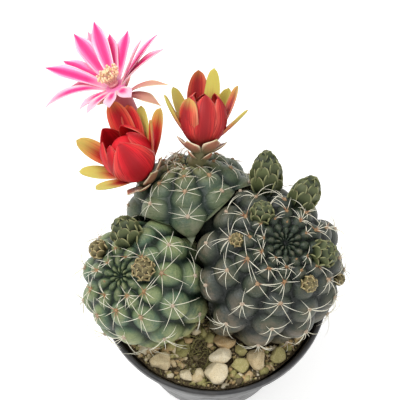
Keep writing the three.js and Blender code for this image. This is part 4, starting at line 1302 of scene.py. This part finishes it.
def felt(batch, point, axes, grown, young, draw):
    """A cushion and its wool: a lumpy ball pressed onto the chin, and a tuft of short hairs."""
    normal, descent, side = axes
    size = (0.32 + 0.68 * grown**2)[:, None] * [0.75, 0.9, 0.7]
    balls = stones(0 * point, size, draw.uniform(0, 6, len(point)), rows=7, columns=10, uneven=0.12)
    basis = np.stack([side, descent, normal], axis=1)
    batch.add(np.einsum("nrcx,nxy->nrcy", balls, basis) + point[:, None, None], tone=0.3,
              young=young)
    spot = draw.normal(0, 0.32, (len(point), HAIRS, 2)) * size[:, None, :2]
    root = (point[:, None] + side[:, None] * spot[..., :1] + descent[:, None] * spot[..., 1:]
            + normal[:, None] * 0.2)
    out = unit(normal[:, None] + draw.normal(0, 0.78, root.shape))
    long = (0.4 + 0.4 * grown)[:, None, None] * draw.uniform(0.6, 1.3, (*spot.shape[:2], 1))
    t = np.array([0, 0, 0.5, 1.0])[:, None]
    paths = (root[:, :, None] + (out * long)[:, :, None] * t).reshape(-1, 4, 3)
    across = unit(np.cross(out, [0.2, 0.5, 0.8])).reshape(-1, 3)
    batch.add(tubes(paths, [0, 0.06, 0.05, 0], across, 3), tone=draw.uniform(0.5, 1, len(paths)),
              young=np.repeat(young, HAIRS))


for name, head in heads.items():
    print(name, "chins with areoles:", len(areoles(head, BARE_CROWN[name], LAST_AREOLE)[0]))


# %% Spines
FANS = {
    "left": dict(fan=(-160, -120, -84, -45, 0, 45, 84, 120, 160), length=11.2, lift=36, curl=44,
                 missing=0.12, least=0.3, radius=0.125),
    "right": dict(fan=(-128, -92, -60, -30, 0, 30, 60, 92, 128), length=9.8, lift=48, curl=72,
                  missing=0.2, least=0.3, radius=0.118),
    "back": dict(fan=(-150, -115, -85, -55, -20, 20, 55, 85, 115, 150), length=8.4, lift=30,
                 curl=46, missing=0.22, least=0.7, radius=0.1),
}
# What spines keep clear of, as capsules: the buds, the flowers' tubes, and the red flowers' eggs.
TUBE_REACH = 5.0
EGG_FROM, EGG_TO, EGG_REACH = 6, 14, 10.5
capsules = list(bud_tips)
for shape in FLOWERS.values():
    start, end, way = (np.array(shape[key]) for key in ("seat", "throat", "facing"))
    capsules.append((start, end, TUBE_REACH))
    if "wraps" in shape:
        capsules.append((end + EGG_FROM * unit(way), end + EGG_TO * unit(way), EGG_REACH))
print("spines keep clear of", len(capsules), "capsules")


def far_from(capsule, points, air):
    """True where points are outside a ball swept from one place to another, with some air."""
    start, end, radius = capsule
    way = end - start
    share = np.clip(((points - start) @ way) / (way @ way), 0, 1)
    return np.linalg.norm(points - start - share[..., None] * way, axis=-1) > radius + air


def spine_paths(name, point, axes, grown, draw, fan, length, lift, curl, missing, least, radius):
    """Each spine rises from the skin at `lift` and curls back as it goes: the slope at t is
    lift - curl t^1.2, and the path is the sum of cos(slope) way + sin(slope) normal. A share of
    the spines is `missing`, since old ones break off. The youngest have the share `least` of the
    full length. The last value is true for the spines that are kept."""
    normal, descent, side = (axis[:, None] for axis in axes)
    turn = (np.array(fan) + draw.normal(0, 14, (len(point), len(fan)))) * DEG
    way = descent * np.cos(turn)[..., None] + side * np.sin(turn)[..., None]
    long = length * np.maximum(grown, least)[:, None] * draw.uniform(0.55, 1.15, turn.shape)
    t = np.concatenate([[0], np.linspace(0, 1, 8)])
    slope = (lift + draw.normal(0, 8, turn.shape))[..., None] - curl * t**1.2
    slope = (slope + 30 * (1 - grown)[:, None, None]) * DEG
    step = (long[..., None] * np.diff(t, prepend=0))[..., None]
    steps = step * (way[:, :, None] * np.cos(slope)[..., None]
                    + normal[:, :, None] * np.sin(slope)[..., None])
    paths = point[:, None, None] - normal[:, :, None] * 0.3 + np.cumsum(steps, axis=2)
    paths, across = paths.reshape(-1, len(t), 3), np.cross(way, normal).reshape(-1, 3)
    outer = paths[:, 3:]
    clear = np.all([far_from(c, outer, 0.4).all(axis=1) for c in capsules], axis=0)
    clear &= draw.uniform(0, 1, len(paths)) > missing
    for other in heads:
        if other != name:
            clear &= heads[other].clears(outer, 0.2).all(axis=1)
    clear &= np.linalg.norm(clear_of_rim(outer) - outer, axis=-1).max(axis=1) < 0.01
    clear &= (outer[..., 2] > SOIL_LEVEL + 1).all(axis=1)
    radii = radius * (1 - t**2.6) * (np.arange(len(t)) > 0)
    return paths[clear], across[clear], t, radii, clear


# %% Spine and felt materials
def spine_finish():
    """Cream, with a rusty root. The rust reaches further on young spines, near the crown."""
    paint = Finish("spines", roughness=0.4, Specular_IOR_Level=0.5)
    along, tone, young = (paint.attribute(key) for key in ("along", "tone", "young"))
    grain = paint.noise(0.9)
    rust = paint.mix(tone, (0.3, 0.1, 0.035), (0.5, 0.27, 0.13))
    cream = paint.mix(grain * tone, (0.72, 0.68, 0.52), (0.9, 0.88, 0.78))
    colour = paint.mix((along + tone * 0.1 - young * 0.3).between(-0.1, 0.14), rust, cream)
    paint.colour(paint.mix(along.between(0.9, 1.0) * 0.3, colour, (0.5, 0.34, 0.2)))
    paint.rough(0.35 + grain * 0.2)
    return paint.material


def felt_finish():
    """Pale wool, which is rusty brown on young areoles."""
    paint = Finish("areole felt", roughness=0.95, Specular_IOR_Level=0.1)
    tone, young, lumps = paint.attribute("tone"), paint.attribute("young"), paint.noise(0.4)
    old = paint.mix(tone, (0.4, 0.3, 0.22), (0.78, 0.7, 0.58))
    fresh = paint.mix(tone, (0.3, 0.15, 0.06), (0.6, 0.42, 0.24))
    colour = paint.mix(young, old, fresh)
    paint.colour(paint.mix(lumps.between(0.4, 0.6) * 0.5, colour, (0.27, 0.18, 0.11)))
    paint.bump(lumps, 0.3)
    return paint.material


spine_paint, felt_paint = spine_finish(), felt_finish()
print("finishes:", spine_paint.name, "and", felt_paint.name)

# %% Spine making
for number, (name, fan) in enumerate(FANS.items()):
    head, draw = heads[name], np.random.default_rng(20 + number)
    rib, down = areoles(head, BARE_CROWN[name] - 0.03, LAST_AREOLE)
    point, *axes = directions(head, rib, down)
    free = stands_free(name, point)
    free &= np.all([far_from(c, point, -1.0) for c in capsules], axis=0)
    point, down, axes = point[free], down[free], [axis[free] for axis in axes]
    grown, young = smooth(-0.1, 0.75, down), 1 - smooth(0.5, 1.2, down)
    wool = Batch("tone", "young")
    felt(wool, point, axes, grown, young, draw)
    wool.make(f"felt_{name}", felt_paint)
    old = down > BARE_CROWN[name]
    paths, across, t, radii, kept = spine_paths(name, point[old], [a[old] for a in axes],
                                                grown[old], draw, **fan)
    needles = Batch("along", "tone", "young")
    needles.add(tubes(paths, radii, across, 5), along=t[:, None],
                tone=draw.uniform(0, 1, len(paths)),
                young=np.repeat(young[old], len(fan["fan"]))[kept])
    needles.make(f"spines_{name}", spine_paint)
    print(name, "areoles:", len(point), "spines:", len(paths))


# %% [markdown]
# ## Camera and light
# The plant is seen steeply from above, as on a potting bench, with a long lens. The light is soft
# and even, from broad panels, and the floor is plain and pale.

# %% Camera
AIM = np.array([-5.379, 29.997, 88.733])
CAMERA_HEIGHT = 67 * DEG
DISTANCE = 520
LENS, SENSOR = 119.2, 36
back = np.array([0, -np.cos(CAMERA_HEIGHT), np.sin(CAMERA_HEIGHT)])
lens = bpy.data.cameras.new("camera")
lens.lens, lens.sensor_width, lens.sensor_fit = LENS, SENSOR, "HORIZONTAL"
lens.clip_start, lens.clip_end = 0.01, 10
camera = bpy.data.objects.new("camera", lens)
camera.location = Vector((AIM + back * DISTANCE) * MM)
camera.rotation_euler = Vector(back).to_track_quat("Z", "Y").to_euler()
bpy.context.scene.collection.objects.link(camera)
bpy.context.scene.camera = camera
bpy.context.scene.view_settings.view_transform = "Standard"
print("camera at, m:", np.round(camera.location, 3).tolist())

# %% Floor and light
FLOOR_REACH = 3.0
floor_paint = Finish("pale floor", roughness=0.9, Emission_Strength=0.35,
                     Emission_Color=(1.0, 1.0, 1.0))
floor_paint.colour((0.9, 0.9, 0.89))
mesh = bpy.data.meshes.new("floor")
corners = np.array([(-1, -1, 0), (1, -1, 0), (1, 1, 0), (-1, 1, 0)]) * FLOOR_REACH
mesh.from_pydata(corners.tolist(), [], [(0, 1, 2, 3)])
mesh.materials.append(floor_paint.material)
floor = bpy.data.objects.new("floor", mesh)
bpy.context.scene.collection.objects.link(floor)


def panel(name, place, size, power):
    """A square soft light, `size` metres across, that looks at the plant."""
    light = bpy.data.lights.new(name, "AREA")
    light.shape, light.size, light.energy = "SQUARE", size, power
    lamp = bpy.data.objects.new(name, light)
    lamp.location = place
    lamp.rotation_euler = (Vector(place) - Vector(AIM * MM)).to_track_quat("Z", "Y").to_euler()
    bpy.context.scene.collection.objects.link(lamp)


panel("key", (-0.45, 0.25, 0.9), 0.5, 7.0)
panel("fill", (0.6, -0.5, 0.7), 0.8, 3.0)
world = bpy.data.worlds.new("studio")
bpy.context.scene.world = world
world.use_nodes = True
background = world.node_tree.nodes["Background"]
background.inputs["Color"].default_value = (1, 1, 1, 1)
background.inputs["Strength"].default_value = 0.75
print("lights:", [light.name for light in bpy.data.lights])
